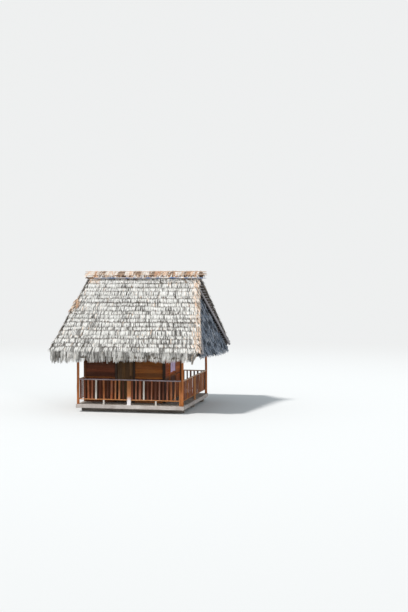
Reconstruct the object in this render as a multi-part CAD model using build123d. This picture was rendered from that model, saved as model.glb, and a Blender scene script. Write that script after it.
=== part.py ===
"""A thatched tree house: a railed deck on bearers, a boarded room and a steep palm-thatch roof.

Millimetres. +X is to the right seen from the front, +Y to the rear, +Z up.
The origin is at the middle of the plan, on the underside of the floor bearers.
Sizes that end in _height are measured above the walking surface of the deck.
"""

from build123d import *

import math
import os

# Floor
post_spacing_x = 4200  # between the centres of the corner posts
post_spacing_y = 4600
deck_margin = 75  # from a corner post's centre to the deck's outer face
board_thickness = 25
joist_width = 60
joist_depth = 120
joist_count = 9
edge_beam_thickness = 50
bearer_diameter = 180
bearer_depth = 160  # a log hewn flat above and below
bearer_setback = 90  # bearer's end, inside the deck's side face
bearer_inset = 520  # front and rear bearers' centres, inside the deck's face

# Posts
post_foot_diameter = 104
post_top_diameter = 90
room_post_size = 100

# Railings
rail_height = 1000
top_rail_diameter = 50
bottom_rail_diameter = 40
bottom_rail_height = 200  # at its axis
baluster_thickness = 22
baluster_widths = (72, 56, 80, 62, 72, 50)  # repeated along each railing
baluster_pitch = 157
first_baluster = 50  # from the start of a span to the middle of its first board
middle_rail_post_width = 150
middle_post_offset = -27  # of the front railing's middle post
rail_post_size = 70
prop_width = 60
entrance_width = 800
entrance_offset = -1250  # centre of the gap in the rear railing

# Room
room_left_line = -post_spacing_x / 2  # the left wall stands in line with the corner posts
room_right_line = 1160
room_depth = 2830  # between post centres
wall_rail_size = 60
sill_rail_depth = 50
sill_height = 960  # underside of the rail below the windows
window_head_height = 1800
wall_panel_thickness = 24
stud_spacing = 1040  # the two studs beside a side window

# Door
door_frame_width = 825
door_offset = 40  # from the middle of the front wall
jamb_width = 80
jamb_depth = 90
door_head_height = 1830
door_head_depth = 70
door_thickness = 35
door_gap = 6
threshold_depth = 25
pivot_diameter = 30
pivot_length = 16
pivot_clearance = 0.3
handle_length = 220
handle_diameter = 24
handle_standoff = 45
handle_height = 950
handle_inset = 90  # from the leaf's edge
handle_stem_diameter = 18

# Windows
shutter_thickness = 22
shutter_gap = 4

# Peg and cloth
peg_diameter = 26
peg_length = 260
peg_height = 1620
cloth_width = 190
cloth_thickness = 6
cloth_front_drop = 480
cloth_rear_drop = 430
cloth_setback = 25  # from the wall's stud to the cloth's edge

# Roof
ridge_height = 5200
eave_height = 2180  # where the slope ends and the fringe starts
eave_overhang = 870  # from the posts' centres
verge_top = 2290  # half length of the roof at the ridge
verge_bottom = 2995  # half length of the roof at the eaves
thatch_thickness = 210
course_count = 15
course_step = 40
fringe_drop = 460
fringe_thickness = 120
fringe_setback = 20
fringe_inset_left = 60  # how far the fringe's lower corners are drawn in
fringe_inset_right = 290
end_setback_top = 380  # end thatch's face, inside the verge at the ridge
end_setback_low = 138  # and at the eaves
end_thatch_thickness = 160
end_course_count = 11
end_course_step = 30
end_fringe_drop = 390  # end thatch's lower edge, under the eave's
batten_diameter = 32
batten_count = 26  # on each slope
batten_stub = 28  # batten's end beyond the thatch
end_batten_count = 8
rafter_diameter = 70
rafter_count = 7
rafter_end_clearance = 290  # outermost rafters' axes, inside the end thatch's face
rafter_eave_setback = 130  # rafter's foot, up the slope from the eave
end_rafter_diameter = 60
end_rafter_pitch = 640
end_rafter_count = 7
ridge_pole_diameter = 110
ridge_pole_setback = 50  # pole's end, inside the verge
fly_rafter_diameter = 64
fly_rafter_top_gap = 70  # its axis outside the end thatch's face
fly_rafter_foot_gap = 130
king_post_diameter = 100
king_post_spacing = 2200
beam_width = 80
eave_beam_depth = 120
tie_beam_depth = 100
tie_beam_overrun = 60
cap_thickness = 60
cap_width = 480  # down each slope
cap_edge_radius = 24
cap_rod_diameter = 36
cap_rod_margin = 20  # from the cap's lower edge to the rod
cap_rod_left = 2050  # rod's ends from the middle
cap_rod_right = 2500
cap_overrun = 110  # cap's end beyond the verge
ridge_rod_diameter = 28
ridge_rod_spacing = 90
ridge_rod_overrun_left = 100  # rod's end beyond the cap
ridge_rod_overrun_right = 160
ridge_rod_count = 3

seat_gap = 0.3  # left between round pieces that bear on each other
panel_clearance = 1  # round the end thatch

# Levels and slopes worked out from the sizes above
deck_top = bearer_depth + joist_depth + board_thickness
deck_half_x = post_spacing_x / 2 + deck_margin
deck_half_y = post_spacing_y / 2 + deck_margin
eave_reach = post_spacing_y / 2 + eave_overhang
pitch = math.atan2(ridge_height - eave_height, eave_reach)
slope_length = (ridge_height - eave_height) / math.sin(pitch)
end_face_top = verge_top - end_setback_top
end_face_low = verge_bottom - end_setback_low
end_fringe_height = eave_height - end_fringe_drop
end_lean = math.atan2(end_face_low - end_face_top, ridge_height - eave_height)
end_rafter_axis = end_thatch_thickness + 2 * seat_gap + batten_diameter + end_rafter_diameter / 2
batten_level = -(thatch_thickness + seat_gap + batten_diameter / 2)
rafter_level = -(thatch_thickness + 2 * seat_gap + batten_diameter + rafter_diameter / 2)
rafter_underside = rafter_level - rafter_diameter / 2 - seat_gap
fly_rafter_foot = slope_length - rafter_eave_setback
room_half_y = room_depth / 2
room_middle = (room_left_line + room_right_line) / 2


def slope_height(reach, level):
    """Height above the deck of a plane parallel to the slope, level being its distance above the thatch."""
    return ridge_height - reach * math.tan(pitch) + level / math.cos(pitch)


def slope_point(side, along, level, x=0.0):
    """A point on the front (side -1) or rear (side 1) slope, along being the distance down from the ridge."""
    reach = along * math.cos(pitch) + level * math.sin(pitch)
    height = ridge_height - along * math.sin(pitch) + level * math.cos(pitch)
    return Vector(x, side * reach, deck_top + height)


def verge_at(reach):
    """Half length of the roof at a distance from the ridge in plan."""
    return verge_top + (verge_bottom - verge_top) * reach / eave_reach


eave_beam_top = slope_height(post_spacing_y / 2 + beam_width / 2, rafter_underside)
eave_beam_bottom = eave_beam_top - eave_beam_depth
tie_beam_bottom = eave_beam_bottom - tie_beam_depth
post_height = tie_beam_bottom
ridge_axis = (
    deck_top + slope_height(0, rafter_underside) - (ridge_pole_diameter / 2 + seat_gap) / math.cos(pitch)
)


def block(x0, x1, y0, y1, z0, z1):
    """A squared piece between two corners."""
    centre = Pos((x0 + x1) / 2, (y0 + y1) / 2, (z0 + z1) / 2)
    return centre * Box(x1 - x0, y1 - y0, z1 - z0)


def raised_block(x0, x1, y0, y1, low, high):
    """A squared piece whose heights are measured above the deck."""
    return block(x0, x1, y0, y1, deck_top + low, deck_top + high)


def pole(start, end, diameter):
    """A round pole between two points."""
    axis = Vector(end) - Vector(start)
    return Solid.make_cylinder(diameter / 2, axis.length, Plane(origin=start, z_dir=axis))


def half_space(side, reach, size=20000):
    """All that lies beyond a distance from the middle of the plan, to the front or the rear."""
    return Pos(0, side * (reach + size / 2), 0) * Box(size, size, size)


def save(name, *solids):
    """Writes one node, as one solid or as several that don't touch."""
    shape = solids[0] if len(solids) == 1 else Compound(children=list(solids))
    export_step(shape, os.path.join("parts", name + ".step"))


def spread(count, half_length):
    """Evenly spaced places, the first and last at the two ends."""
    return [half_length * (2 * i / (count - 1) - 1) for i in range(count)]


# Floor


def floor_bearer(y):
    """A log hewn flat above and below, running from side to side."""
    reach = deck_half_x - bearer_setback
    log = pole((-reach, y, bearer_depth / 2), (reach, y, bearer_depth / 2), bearer_diameter)
    hewn = block(-reach, reach, y - bearer_diameter, y + bearer_diameter, 0, bearer_depth)
    return log & hewn


def build_floor():
    """Bearers, joists, the boarded deck as a slab, and the beams that close its edges."""
    bearer_y = deck_half_y - bearer_inset
    save("floor_bearers", *[floor_bearer(y) for y in (-bearer_y, 0, bearer_y)])

    inner_x = deck_half_x - edge_beam_thickness
    inner_y = deck_half_y - edge_beam_thickness
    joist_top = bearer_depth + joist_depth
    joists = []
    for x in spread(joist_count, inner_x - joist_width / 2):
        left, right = x - joist_width / 2, x + joist_width / 2
        joists.append(block(left, right, -inner_y, inner_y, bearer_depth, joist_top))
    save("floor_joists", *joists)
    save("deck_floor", block(-inner_x, inner_x, -inner_y, inner_y, joist_top, deck_top))

    long_beams, side_beams = [], []
    for side in (-1, 1):
        near, far = sorted((side * inner_y, side * deck_half_y))
        long_beams.append(block(-deck_half_x, deck_half_x, near, far, bearer_depth, deck_top))
        near, far = sorted((side * inner_x, side * deck_half_x))
        side_beams.append(block(near, far, -inner_y, inner_y, bearer_depth, deck_top))
    save("front_and_rear_edge_beams", *long_beams)
    save("side_edge_beams", *side_beams)


# Posts


def corner_post(x, y):
    """A pole that tapers from its foot on the deck to the beam that it carries."""
    foot = Plane(origin=(x, y, deck_top), z_dir=(0, 0, 1))
    return Solid.make_cone(post_foot_diameter / 2, post_top_diameter / 2, post_height, foot)


def build_posts():
    """Four corner posts of the deck and four squared posts of the room."""
    x, y = post_spacing_x / 2, post_spacing_y / 2
    save("corner_posts", *[corner_post(sx * x, sy * y) for sx in (-1, 1) for sy in (-1, 1)])
    half = room_post_size / 2
    posts = []
    for px in (room_left_line, room_right_line):
        for py in (-room_half_y, room_half_y):
            posts.append(raised_block(px - half, px + half, py - half, py + half, 0, post_height))
    save("room_posts", *posts)


# Railings


def railing(length, spans):
    """A railing along +X from the origin: one top rail over lower rails with upright boards, all joined.

    spans are the (start, end) stretches between the short posts, which the top rail passes over.
    """
    top_axis = rail_height - top_rail_diameter / 2
    body = pole((0, 0, top_axis), (length, 0, top_axis), top_rail_diameter)
    for start, end in spans:
        low = (start, 0, bottom_rail_height)
        high = (end, 0, bottom_rail_height)
        body += pole(low, high, bottom_rail_diameter)
        room = end - start - first_baluster
        count = max(1, round(room / baluster_pitch))
        for i in range(count):
            width = baluster_widths[i % len(baluster_widths)]
            middle = start + first_baluster + i * room / count
            body += block(
                middle - width / 2,
                middle + width / 2,
                -baluster_thickness / 2,
                baluster_thickness / 2,
                bottom_rail_height,
                top_axis,
            )
    return body


def place_railing(body, start_x, start_y, turn=0):
    """Sets a railing on the deck, turned about its start."""
    return Pos(start_x, start_y, deck_top) * Rot(0, 0, turn) * body


def rail_post(x, y, width_x, width_y):
    """A short squared post that stands on the deck under the top rail."""
    top = rail_height - top_rail_diameter - seat_gap
    return raised_block(x - width_x / 2, x + width_x / 2, y - width_y / 2, y + width_y / 2, 0, top)


def build_railings():
    """Railings on all sides, with a gap at the rear to come in by, and their short posts."""
    x, y = post_spacing_x / 2, post_spacing_y / 2
    post_reach = post_foot_diameter / 2 + seat_gap
    half_middle = middle_rail_post_width / 2
    corner_stub = x - post_reach - rail_post_size
    short_posts = [
        rail_post(middle_post_offset, -y, middle_rail_post_width, rail_post_size),
        rail_post(x - post_reach - rail_post_size / 2, -y, rail_post_size, rail_post_size),
        rail_post(x, 0, rail_post_size, rail_post_size),
    ]

    front_start = -x + post_reach
    left_end = middle_post_offset - half_middle - front_start
    right_start = middle_post_offset + half_middle - front_start
    front = railing(2 * (x - post_reach), [(0, left_end), (right_start, corner_stub - front_start)])
    save("front_railing", place_railing(front, front_start, -y))

    prop_top = bottom_rail_height - bottom_rail_diameter / 2 - seat_gap
    for prop_x in (-x / 2, x / 2):
        left, right = prop_x - prop_width / 2, prop_x + prop_width / 2
        front_face, rear_face = -y - baluster_thickness, -y + baluster_thickness
        short_posts.append(raised_block(left, right, front_face, rear_face, 0, prop_top))

    side_start = -y + post_reach
    side = railing(
        2 * (y - post_reach),
        [(0, -rail_post_size / 2 - side_start), (rail_post_size / 2 - side_start, -2 * side_start)],
    )
    save("right_railing", place_railing(side, x, side_start, 90))

    gap_left = entrance_offset - entrance_width / 2
    gap_right = entrance_offset + entrance_width / 2
    left_length = gap_left + x - post_reach
    right_length = x - post_reach - gap_right
    rear_left = railing(left_length, [(0, left_length - rail_post_size)])
    rear_right = railing(right_length, [(rail_post_size, right_length)])
    save(
        "rear_railings",
        place_railing(rear_left, -x + post_reach, y),
        place_railing(rear_right, gap_right, y),
    )
    for post_x in (gap_left - rail_post_size / 2, gap_right + rail_post_size / 2):
        short_posts.append(rail_post(post_x, y, rail_post_size, rail_post_size))
    save("rail_posts", *short_posts)

    return_length = y - post_reach - room_half_y - room_post_size / 2
    return_rail = railing(return_length, [(0, return_length)])
    save(
        "left_railings",
        place_railing(return_rail, -x, side_start, 90),
        place_railing(return_rail, -x, room_half_y + room_post_size / 2, 90),
    )


# Room

wall_inner = room_post_size / 2  # from a post's centre to its face
top_rail_underside = post_height - wall_rail_size
window_rails = (
    (0, wall_rail_size),
    (sill_height, sill_height + sill_rail_depth),
    (window_head_height, window_head_height + sill_rail_depth),
)
wall_bands = (
    (wall_rail_size, sill_height),
    (sill_height + sill_rail_depth, window_head_height),
    (window_head_height + sill_rail_depth, top_rail_underside),
)


def wall_piece(line, along, start, end, low, high, thickness):
    """A piece of wall on a line of constant x (along is "y") or of constant y (along is "x")."""
    near, far = line - thickness / 2, line + thickness / 2
    if along == "y":
        return raised_block(near, far, start, end, low, high)
    return raised_block(start, end, near, far, low, high)


def top_rail(line, along, start, end):
    """The rail that ends a wall at the level of the posts' tops."""
    return wall_piece(line, along, start, end, top_rail_underside, post_height, wall_rail_size)


def bay_rails(line, along, start, end):
    """The sole, sill and head rails between two uprights."""
    return [wall_piece(line, along, start, end, low, high, wall_rail_size) for low, high in window_rails]


def bay_panels(line, along, start, end, bands):
    """The boarding of a bay, one panel between each pair of rails."""
    return [wall_piece(line, along, start, end, low, high, wall_panel_thickness) for low, high in bands]


def shutter(line, along, start, end):
    """The closed flap of a window, a little smaller than its opening and resting on the sill rail."""
    low, high = wall_bands[1]
    gap = shutter_gap
    return wall_piece(line, along, start + gap, end - gap, low, high - gap, shutter_thickness)


def three_bays(inner_start, inner_end):
    """Two studs beside the middle bay: the studs' stretches, then the bays'."""
    middle = (inner_start + inner_end) / 2
    half = stud_spacing / 2
    thick = wall_rail_size / 2
    studs = [(middle + s * half - thick, middle + s * half + thick) for s in (-1, 1)]
    bays = [(inner_start, studs[0][0]), (studs[0][1], studs[1][0]), (studs[1][1], inner_end)]
    return studs, bays


def build_side_wall(name, line):
    """A wall of three bays with a window in the middle one: its frame and its window's flap."""
    rails = []
    start, end = -room_half_y + wall_inner, room_half_y - wall_inner
    studs, bays = three_bays(start, end)
    rails.append(top_rail(line, "y", start, end))
    for low, high in studs:
        rails.append(wall_piece(line, "y", low, high, 0, top_rail_underside, wall_rail_size))
    panels = []
    for number, (low, high) in enumerate(bays):
        rails.extend(bay_rails(line, "y", low, high))
        bands = (wall_bands[0], wall_bands[2]) if number == 1 else wall_bands
        panels.extend(bay_panels(line, "y", low, high, bands))
    save(name + "_wall", *panels)
    return joined(rails), shutter(line, "y", *bays[1])


def build_room():
    """Rails and studs, boarded walls, window flaps and the door in its frame."""
    front_line, rear_line = -room_half_y, room_half_y
    left_face, right_face = room_left_line + wall_inner, room_right_line - wall_inner
    frame_middle = room_middle + door_offset
    frame_left = frame_middle - door_frame_width / 2
    frame_right = frame_middle + door_frame_width / 2

    flaps = []
    front_rails = [top_rail(front_line, "x", left_face, right_face)]
    for name, start, end in (
        ("front_left", left_face, frame_left),
        ("front_right", frame_right, right_face),
    ):
        front_rails.extend(bay_rails(front_line, "x", start, end))
        bands = (wall_bands[0], wall_bands[2])
        save(name + "_wall", *bay_panels(front_line, "x", start, end, bands))
        flaps.append(shutter(front_line, "x", start, end))
    save("front_wall_rails", *front_rails)
    save("front_shutters", *flaps)

    left_frame, left_flap = build_side_wall("left", room_left_line)
    right_frame, right_flap = build_side_wall("right", room_right_line)
    save("side_wall_frames", left_frame, right_frame)
    save("side_shutters", left_flap, right_flap)

    studs, bays = three_bays(left_face, right_face)
    rear = [top_rail(rear_line, "x", left_face, right_face)]
    for low, high in studs:
        rear.append(wall_piece(rear_line, "x", low, high, 0, top_rail_underside, wall_rail_size))
    panels = []
    for low, high in bays:
        rear.extend(bay_rails(rear_line, "x", low, high))
        panels.extend(bay_panels(rear_line, "x", low, high, wall_bands))
    save("rear_wall_frame", joined(rear))
    save("rear_wall", *panels)
    build_door(front_line, frame_left, frame_right)


def build_peg_and_cloth():
    """A peg in the front stud of the right wall, with a cloth folded over it."""
    stud_face = room_right_line + wall_rail_size / 2
    y = -stud_spacing / 2
    axis = deck_top + peg_height
    save("cloth_peg", pole((stud_face, y, axis), (stud_face + peg_length, y, axis), peg_diameter))

    inner = peg_diameter / 2 + seat_gap
    outer = inner + cloth_thickness
    fold = Circle(outer) - Circle(inner)
    fold = fold & Pos(0, outer) * Rectangle(4 * outer, 2 * outer)
    section = fold
    for middle, drop in ((-(inner + outer) / 2, cloth_front_drop), ((inner + outer) / 2, cloth_rear_drop)):
        section += Pos(middle, -drop / 2) * Rectangle(cloth_thickness, drop)
    near = stud_face + cloth_setback
    across = Plane(origin=(near, y, axis), x_dir=(0, 1, 0), z_dir=(1, 0, 0))
    save("hanging_cloth", extrude(across * section, amount=cloth_width))


def joined(pieces):
    """One solid of pieces that touch."""
    body = pieces[0]
    for piece in pieces[1:]:
        body += piece
    return body


def build_door(line, frame_left, frame_right):
    """A frame with a threshold, and a leaf that turns inwards on pivots at its rounded heel."""
    front, rear = line - jamb_depth / 2, line + jamb_depth / 2
    opening_left, opening_right = frame_left + jamb_width, frame_right - jamb_width
    head_top = door_head_height + door_head_depth
    frame = raised_block(frame_left, opening_left, front, rear, 0, top_rail_underside)
    frame += raised_block(opening_right, frame_right, front, rear, 0, top_rail_underside)
    frame += raised_block(opening_left, opening_right, front, rear, door_head_height, head_top)
    frame += raised_block(opening_left, opening_right, front, rear, 0, threshold_depth)

    leaf_left, leaf_right = opening_left + door_gap, opening_right - door_gap
    leaf_low, leaf_high = threshold_depth + door_gap, door_head_height - door_gap
    leaf_front, leaf_rear = rear - door_thickness, rear
    heel = door_thickness / 2
    pivot_x, pivot_y = leaf_left + heel, leaf_rear - heel

    def upright(low, high, diameter):
        """A round piece on the pivots' axis."""
        return pole((pivot_x, pivot_y, deck_top + low), (pivot_x, pivot_y, deck_top + high), diameter)

    leaf = raised_block(pivot_x, leaf_right, leaf_front, leaf_rear, leaf_low, leaf_high)
    leaf += upright(leaf_low, leaf_high, door_thickness)
    pin_low = leaf_low - door_gap - pivot_length
    pin_high = leaf_high + door_gap + pivot_length
    leaf += upright(pin_low, pin_high, pivot_diameter)
    frame -= upright(pin_low - pivot_clearance, pin_high + pivot_clearance, pivot_diameter + 2 * pivot_clearance)
    save("door_frame", frame)
    save("door", leaf + door_handle(leaf_right - handle_inset, leaf_front))

    band = (head_top, top_rail_underside)
    save("front_wall_over_door", *bay_panels(line, "x", opening_left, opening_right, [band]))


def door_handle(x, leaf_face):
    """A wooden pull: an upright bar on two short stems."""
    axis_y = leaf_face - handle_standoff
    middle = deck_top + handle_height
    half = handle_length / 2
    bar = pole((x, axis_y, middle - half), (x, axis_y, middle + half), handle_diameter)
    for end in (-1, 1):
        level = middle + end * (half - handle_diameter)
        bar += pole((x, axis_y, level), (x, leaf_face, level), handle_stem_diameter)
    return bar


# Roof frame


def build_roof_frame():
    """Beams on the posts, king posts under a ridge pole, and fanned rafters with battens across."""
    half_y = post_spacing_y / 2
    half_beam = beam_width / 2
    ties = []
    for x in (room_left_line, room_right_line, post_spacing_x / 2):
        reach = half_y + tie_beam_overrun
        ties.append(raised_block(x - half_beam, x + half_beam, -reach, reach, tie_beam_bottom, eave_beam_bottom))
    save("tie_beams", *ties)

    reach_x = end_face_x(eave_beam_top + tie_beam_depth, end_rafter_axis) + half_beam
    beams = []
    for y in (-half_y, half_y):
        beams.append(
            raised_block(-reach_x, reach_x, y - half_beam, y + half_beam, eave_beam_bottom, eave_beam_top)
        )
    reach_x = post_spacing_x / 2 + tie_beam_overrun
    beams.append(raised_block(-reach_x, reach_x, -half_beam, half_beam, eave_beam_bottom, eave_beam_top))
    save("eave_and_middle_beams", *beams)

    save("ridge_pole", ridge_log())
    kings = []
    for x in (-king_post_spacing / 2, king_post_spacing / 2):
        foot = (x, 0, deck_top + eave_beam_top)
        kings.append(pole(foot, (x, 0, ridge_axis), king_post_diameter) - ridge_log(seat_gap))
    save("king_posts", *kings)

    for side, name in ((-1, "front"), (1, "rear")):
        save(name + "_rafters", *slope_rafters(side), *verge_rafters(side))
        save(name + "_battens", *slope_battens(side))
    build_end_frames()


def ridge_log(clearance=0.0):
    """The pole under the ridge, or with a clearance the room that it takes in what it passes."""
    reach = verge_top - ridge_pole_setback + clearance
    return pole((-reach, 0, ridge_axis), (reach, 0, ridge_axis), ridge_pole_diameter + 2 * clearance)


def verge_rafters(side):
    """The poles outside the end thatch that carry the battens' ends at both verges."""
    level = batten_level - batten_diameter / 2 - seat_gap - fly_rafter_diameter / 2
    rafters = []
    for hand in (-1, 1):
        top, foot = (slope_point(side, along, level) for along in (fly_rafter_diameter, fly_rafter_foot))
        start = Vector(hand * (end_face_x(top.Z - deck_top) + fly_rafter_top_gap), top.Y, top.Z)
        end = Vector(hand * (end_face_x(foot.Z - deck_top) + fly_rafter_foot_gap), foot.Y, foot.Z)
        rafters.append(pole(start, end, fly_rafter_diameter) & half_space(side, seat_gap))
    return rafters


def slope_rafters(side):
    """Poles that fan out from the ridge to the eave, cut upright where they meet at the ridge."""
    far_side = half_space(side, seat_gap)
    rafters = []
    top = rafter_diameter
    foot = slope_length - rafter_eave_setback
    for share in spread(rafter_count, 1):
        top_x = share * (end_face_top - rafter_end_clearance)
        foot_x = share * (end_face_low - rafter_end_clearance)
        start = slope_point(side, top, rafter_level, top_x)
        end = slope_point(side, foot, rafter_level, foot_x)
        rafters.append(pole(start, end, rafter_diameter) & far_side)
    return rafters


def slope_battens(side):
    """Poles along the slope under the leaf, that stand out past it at both ends."""
    battens = []
    first = thatch_thickness * math.tan(pitch) + 2 * batten_diameter
    last = slope_length - rafter_eave_setback - batten_diameter
    for number in range(batten_count):
        along = first + (last - first) * number / (batten_count - 1)
        place = slope_point(side, along, batten_level)
        reach = verge_at(abs(place.Y)) + batten_stub
        battens.append(pole((-reach, place.Y, place.Z), (reach, place.Y, place.Z), batten_diameter))
    return battens


def end_face_x(height, inward=0.0):
    """Distance of the end thatch's outer face from the middle, or of a face inward of it."""
    lean = (ridge_height - height) * math.tan(end_lean)
    return end_face_top + lean - inward / math.cos(end_lean)


def build_end_frames():
    """Leaning poles and battens that carry the thatch of the two ends."""
    half_beam = beam_width / 2
    end_beam_top = eave_beam_top + tie_beam_depth
    batten_axis = end_thatch_thickness + seat_gap + batten_diameter / 2
    beam_x = end_face_x(end_beam_top, end_rafter_axis)
    under_battens = -(thatch_thickness + 2 * seat_gap + batten_diameter)
    beam_reach = (ridge_height + under_battens / math.cos(pitch) - end_beam_top) / math.tan(pitch) - 10
    beams, rafters, battens = [], [], []
    attic = attic_prism(under_battens, eave_reach)
    for side in (-1, 1):
        near, far = sorted((side * (beam_x - half_beam), side * (beam_x + half_beam)))
        beams.append(raised_block(near, far, -beam_reach, beam_reach, eave_beam_top, end_beam_top))
        for place in spread(end_rafter_count, end_rafter_pitch * (end_rafter_count - 1) / 2):
            if abs(place) > beam_reach - end_rafter_diameter:
                continue
            under_pole = abs(place) < (ridge_pole_diameter + end_rafter_diameter) / 2
            low = end_beam_top - end_rafter_diameter
            high = ridge_axis - deck_top if under_pole else ridge_height
            start = (side * end_face_x(low, end_rafter_axis), place, deck_top + low)
            end = (side * end_face_x(high, end_rafter_axis), place, deck_top + high)
            above_beam = raised_block(-verge_bottom, verge_bottom, -eave_reach, eave_reach, end_beam_top, high)
            whole = pole(start, end, end_rafter_diameter) & above_beam & attic
            rafters.append(whole - ridge_log(seat_gap))
        span = ridge_height + under_battens / math.cos(pitch) - end_beam_top
        for number in range(end_batten_count):
            height = end_beam_top + span * (number + 0.5) / (end_batten_count + 0.5)
            top = height + batten_diameter
            reach = (ridge_height + under_battens / math.cos(pitch) - top) / math.tan(pitch)
            x = side * end_face_x(height, batten_axis)
            level = deck_top + height
            battens.append(pole((x, -reach, level), (x, reach, level), batten_diameter) - ridge_log(seat_gap))
    save("end_beams", *beams)
    save("end_rafters", *rafters)
    save("end_battens", *battens)


# Thatch


def stepped_line(count, length, step):
    """Course points from the top down: (distance along, depth under the outer plane)."""
    points = []
    for number in range(count):
        points.append((length * number / count, step))
        points.append((length * (number + 1) / count, 0))
    return points


def slope_thatch(side):
    """A main slope: stepped courses above, a hanging fringe at the eave, flared verges."""
    outline = []
    for along, depth in stepped_line(course_count, slope_length, course_step):
        place = slope_point(side, along, -depth)
        outline.append((place.Y, place.Z))
    fringe_low = eave_height - fringe_drop
    outer = eave_reach - fringe_setback
    inner = outer - fringe_thickness
    knee = inner - fringe_setback
    outline.append((side * outer, deck_top + fringe_low))
    outline.append((side * inner, deck_top + fringe_low + fringe_setback))
    outline.append((side * knee, deck_top + slope_height(knee, -thatch_thickness)))
    outline.append((0, deck_top + slope_height(0, -thatch_thickness)))
    profile = make_face(Plane.YZ * Polyline(outline, close=True))
    body = extrude(profile, amount=verge_bottom, both=True)

    plan = [
        (-verge_top, 0),
        (verge_top, 0),
        (verge_bottom, side * eave_reach),
        (-verge_bottom, side * eave_reach),
    ]
    plan_face = make_face(Polyline(plan, close=True))
    body = body & extrude(plan_face, amount=2 * (deck_top + ridge_height))

    low, knee_z = deck_top + fringe_low, deck_top + eave_height
    front = [
        (fringe_inset_left - verge_bottom, low),
        (verge_bottom - fringe_inset_right, low),
        (verge_bottom, knee_z),
        (verge_bottom, deck_top + ridge_height),
        (-verge_bottom, deck_top + ridge_height),
        (-verge_bottom, knee_z),
    ]
    front_face = make_face(Plane.XZ * Polyline(front, close=True))
    return body & extrude(front_face, amount=eave_reach, both=True)


def attic_prism(level, half_length):
    """The space under both slopes, up to a plane parallel to them."""
    top = ridge_height + level / math.cos(pitch)
    corner = eave_reach - 2 * fringe_setback - fringe_thickness - 10 * panel_clearance
    shoulder = top - corner * math.tan(pitch)
    outline = [
        (-corner, deck_top + end_fringe_height),
        (-corner, deck_top + shoulder),
        (0, deck_top + top),
        (corner, deck_top + shoulder),
        (corner, deck_top + end_fringe_height),
    ]
    face = make_face(Plane.YZ * Polyline(outline, close=True))
    return extrude(face, amount=half_length, both=True)


def end_thatch(side):
    """A steep leaning end, stepped in courses and closed under both slopes."""
    face_length = (ridge_height - end_fringe_height) / math.cos(end_lean)
    outline = []
    for along, depth in stepped_line(end_course_count, face_length, end_course_step):
        height = ridge_height - along * math.cos(end_lean)
        outline.append((side * end_face_x(height, depth), deck_top + height))
    low = outline[-1][1] - deck_top
    outline.append((side * end_face_x(low, end_thatch_thickness), deck_top + low))
    outline.append((side * end_face_x(ridge_height, end_thatch_thickness), deck_top + ridge_height))
    face = make_face(Plane.XZ * Polyline(outline, close=True))
    body = extrude(face, amount=eave_reach, both=True)
    under_battens = -(thatch_thickness + seat_gap + batten_diameter + panel_clearance)
    return (body & attic_prism(under_battens, 2 * verge_bottom)) - ridge_log(panel_clearance)


def ridge_cap():
    """A folded mat over the ridge with a rounded fold and rounded lower edges."""
    inner = seat_gap
    outer = cap_thickness
    outline = []
    for side in (-1, 1):
        low_in = slope_point(side, cap_width, inner)
        low_out = slope_point(side, cap_width, outer)
        pair = [(low_in.Y, low_in.Z), (low_out.Y, low_out.Z)]
        if side < 0:
            outline.extend(pair)
            outline.append((0, deck_top + slope_height(0, outer)))
        else:
            outline.extend(reversed(pair))
            outline.append((0, deck_top + slope_height(0, inner)))
    face = make_face(Plane.YZ * Polyline(outline, close=True))
    corners = face.vertices().sort_by(Axis.Z)
    rounded = [corners[-1]] + [v for v in face.vertices() if abs(v.Z - slope_point(1, cap_width, outer).Z) < 1]
    face = fillet(rounded, cap_edge_radius)
    return extrude(face, amount=verge_top + cap_overrun, both=True)


def build_roof_cover():
    """Thatch on both slopes and both ends, the ridge cap and the rods that hold it down."""
    save("front_thatch", slope_thatch(-1))
    save("rear_thatch", slope_thatch(1))
    save("left_end_thatch", end_thatch(-1))
    save("right_end_thatch", end_thatch(1))
    save("ridge_cap", ridge_cap())

    rods = []
    rod_level = cap_thickness + seat_gap + cap_rod_diameter / 2
    rod_along = cap_width - cap_rod_margin - cap_rod_diameter / 2
    for side in (-1, 1):
        place = slope_point(side, rod_along, rod_level)
        start = (-cap_rod_left, place.Y, place.Z)
        end = (cap_rod_right, place.Y, place.Z)
        rods.append(pole(start, end, cap_rod_diameter))
    save("cap_rods", *rods)

    rods = []
    for side in (-1, 1):
        for number in range(ridge_rod_count):
            along = ridge_rod_spacing * (number + 0.5) + cap_edge_radius
            place = slope_point(side, along, cap_thickness + seat_gap + ridge_rod_diameter / 2)
            start = (-verge_top - cap_overrun - ridge_rod_overrun_left, place.Y, place.Z)
            end = (verge_top + cap_overrun + ridge_rod_overrun_right, place.Y, place.Z)
            rods.append(pole(start, end, ridge_rod_diameter))
    save("ridge_rods", *rods)


def main():
    os.makedirs("parts", exist_ok=True)
    build_floor()
    build_posts()
    build_railings()
    build_room()
    build_peg_and_cloth()
    build_roof_frame()
    build_roof_cover()


main()
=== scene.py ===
# %% [markdown]
# # A thatched tree house
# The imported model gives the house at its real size: deck, posts, room, roof frame and thatch as plain
# solids. This lesson dresses it. Weathered palm leaf is thousands of narrow blades in courses, so it is
# made as real geometry. Boards and poles get chamfers, small faults and a grain of their own. Everything is
# in metres, with +X to the right, +Y to the rear and +Z up.

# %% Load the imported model
import math

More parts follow.
